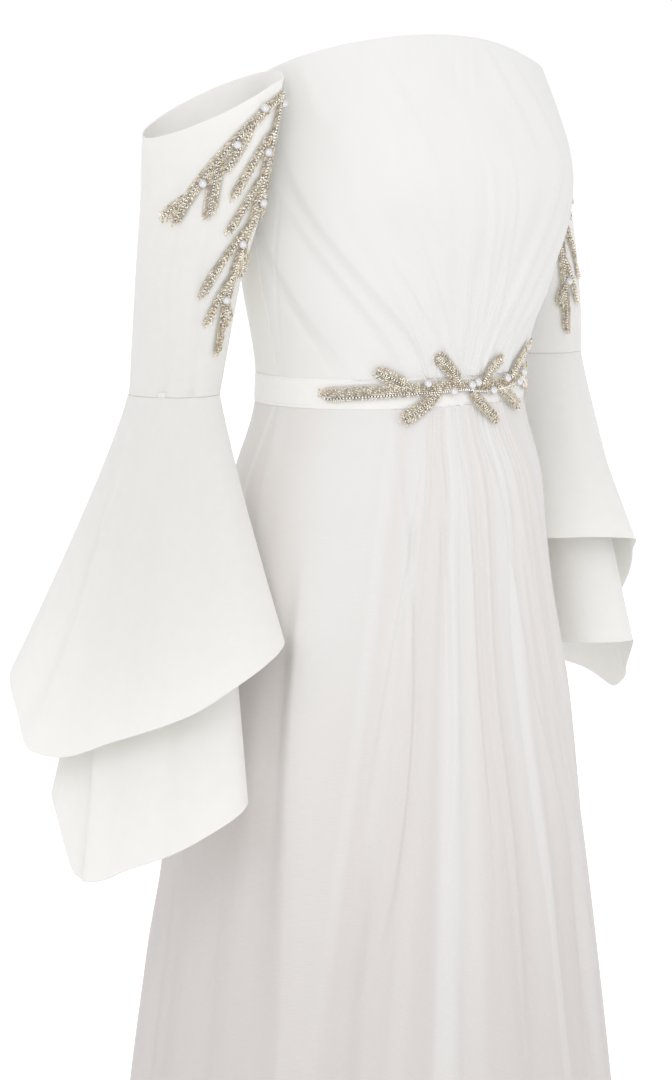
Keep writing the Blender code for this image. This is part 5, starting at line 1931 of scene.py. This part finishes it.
def add_camera():
    """Add the camera where the photograph was taken from, with the waist at its own pixel."""
    at = Vector(CAMERA_AT)
    to_waist = -at.normalized()
    yaw = math.atan2(to_waist.y, to_waist.x)
    yaw += math.atan((WAIST_IN_PICTURE[0] - PICTURE[0] / 2) / FOCAL_PIXELS)
    pitch = math.asin(to_waist.z)
    pitch -= math.atan((PICTURE[1] / 2 - WAIST_IN_PICTURE[1]) / FOCAL_PIXELS)
    level = math.cos(pitch)
    ahead = Vector((level * math.cos(yaw), level * math.sin(yaw), math.sin(pitch)))
    data = bpy.data.cameras.new("camera")
    data.sensor_width = SENSOR
    data.sensor_fit = "AUTO"
    data.lens = FOCAL_PIXELS / PICTURE[1] * SENSOR
    data.clip_end = FARTHEST_VIEW
    camera = bpy.data.objects.new("camera", data)
    camera.location = at
    camera.rotation_euler = ahead.to_track_quat("-Z", "Y").to_euler()
    bpy.context.scene.collection.objects.link(camera)
    bpy.context.scene.camera = camera


class MakeStudio(bpy.types.Operator):
    """Put in the pale floor, the soft white light and the camera"""

    bl_idname = "gown.make_studio"
    bl_label = "Studio"

    def execute(self, context):
        studio = context.scene.gown_studio
        context.scene.view_settings.view_transform = "Standard"

        world = bpy.data.worlds.new("white_studio")
        world.use_nodes = True
        background = world.node_tree.nodes["Background"]
        background.inputs["Color"].default_value = (1, 1, 1, 1)
        background.inputs["Strength"].default_value = studio.sky_strength
        context.scene.world = world

        floor = bmesh.new()
        bmesh.ops.create_grid(floor, x_segments=4, y_segments=4, size=studio.floor_size / 2,
                              matrix=Matrix.Translation((0, 0, studio.floor_height)))
        add_to_studio("floor", floor, paper_finish("studio_floor", FLOOR_COLOUR, FLOOR_GLOW))
        dome = bmesh.new()
        bmesh.ops.create_uvsphere(dome, u_segments=48, v_segments=24,
                                  radius=studio.floor_size * BACKDROP_SHARE)
        bmesh.ops.reverse_faces(dome, faces=dome.faces)
        backdrop = add_to_studio("backdrop", dome,
                                 paper_finish("studio_backdrop", BACKDROP_COLOUR, BACKDROP_GLOW))
        backdrop.visible_shadow = False
        backdrop.visible_glossy = False

        for lamp in LAMPS:
            add_lamp(lamp, studio.key_power, studio.key_size)
        add_camera()
        return {"FINISHED"}


OPERATORS = (MakeBodice, MakeWaistband, MakeSkirt, MakeUnderskirt, MakeSleeves, MakeFlounces,
             MakeSprigs, MakeZip, MakeStudio)
GROUPS = {"gown_cloth": GownCloth, "gown_beading": GownBeading, "gown_studio": GownStudio}


class GownPanel(bpy.types.Panel):
    """Sizes and colours of the gown, with a button for each group of pieces."""

    bl_idname = "VIEW3D_PT_gown"
    bl_label = "Evening Gown"
    bl_space_type = "VIEW_3D"
    bl_region_type = "UI"
    bl_category = "Gown"

    def draw(self, context):
        for name, group in GROUPS.items():
            box = self.layout.box()
            for setting in group.__annotations__:
                box.prop(getattr(context.scene, name), setting)
        for operator in OPERATORS:
            self.layout.operator(operator.bl_idname)


def register():
    """Register the gown's classes and settings."""
    for made in (*GROUPS.values(), *OPERATORS, GownPanel):
        bpy.utils.register_class(made)
    for name, group in GROUPS.items():
        setattr(bpy.types.Scene, name, PointerProperty(type=group))


def unregister():
    """Remove the gown's classes and settings."""
    for name in GROUPS:
        delattr(bpy.types.Scene, name)
    for made in (GownPanel, *OPERATORS[::-1], *tuple(GROUPS.values())[::-1]):
        bpy.utils.unregister_class(made)


def main():
    """Make the gown and its studio."""
    register()
    bpy.ops.gown.make_bodice()
    bpy.ops.gown.make_waistband()
    bpy.ops.gown.make_skirt()
    bpy.ops.gown.make_underskirt()
    bpy.ops.gown.make_sleeves()
    bpy.ops.gown.make_flounces()
    bpy.ops.gown.make_sprigs()
    bpy.ops.gown.make_zip()
    bpy.ops.gown.make_studio()


if __name__ == "__main__":
    main()
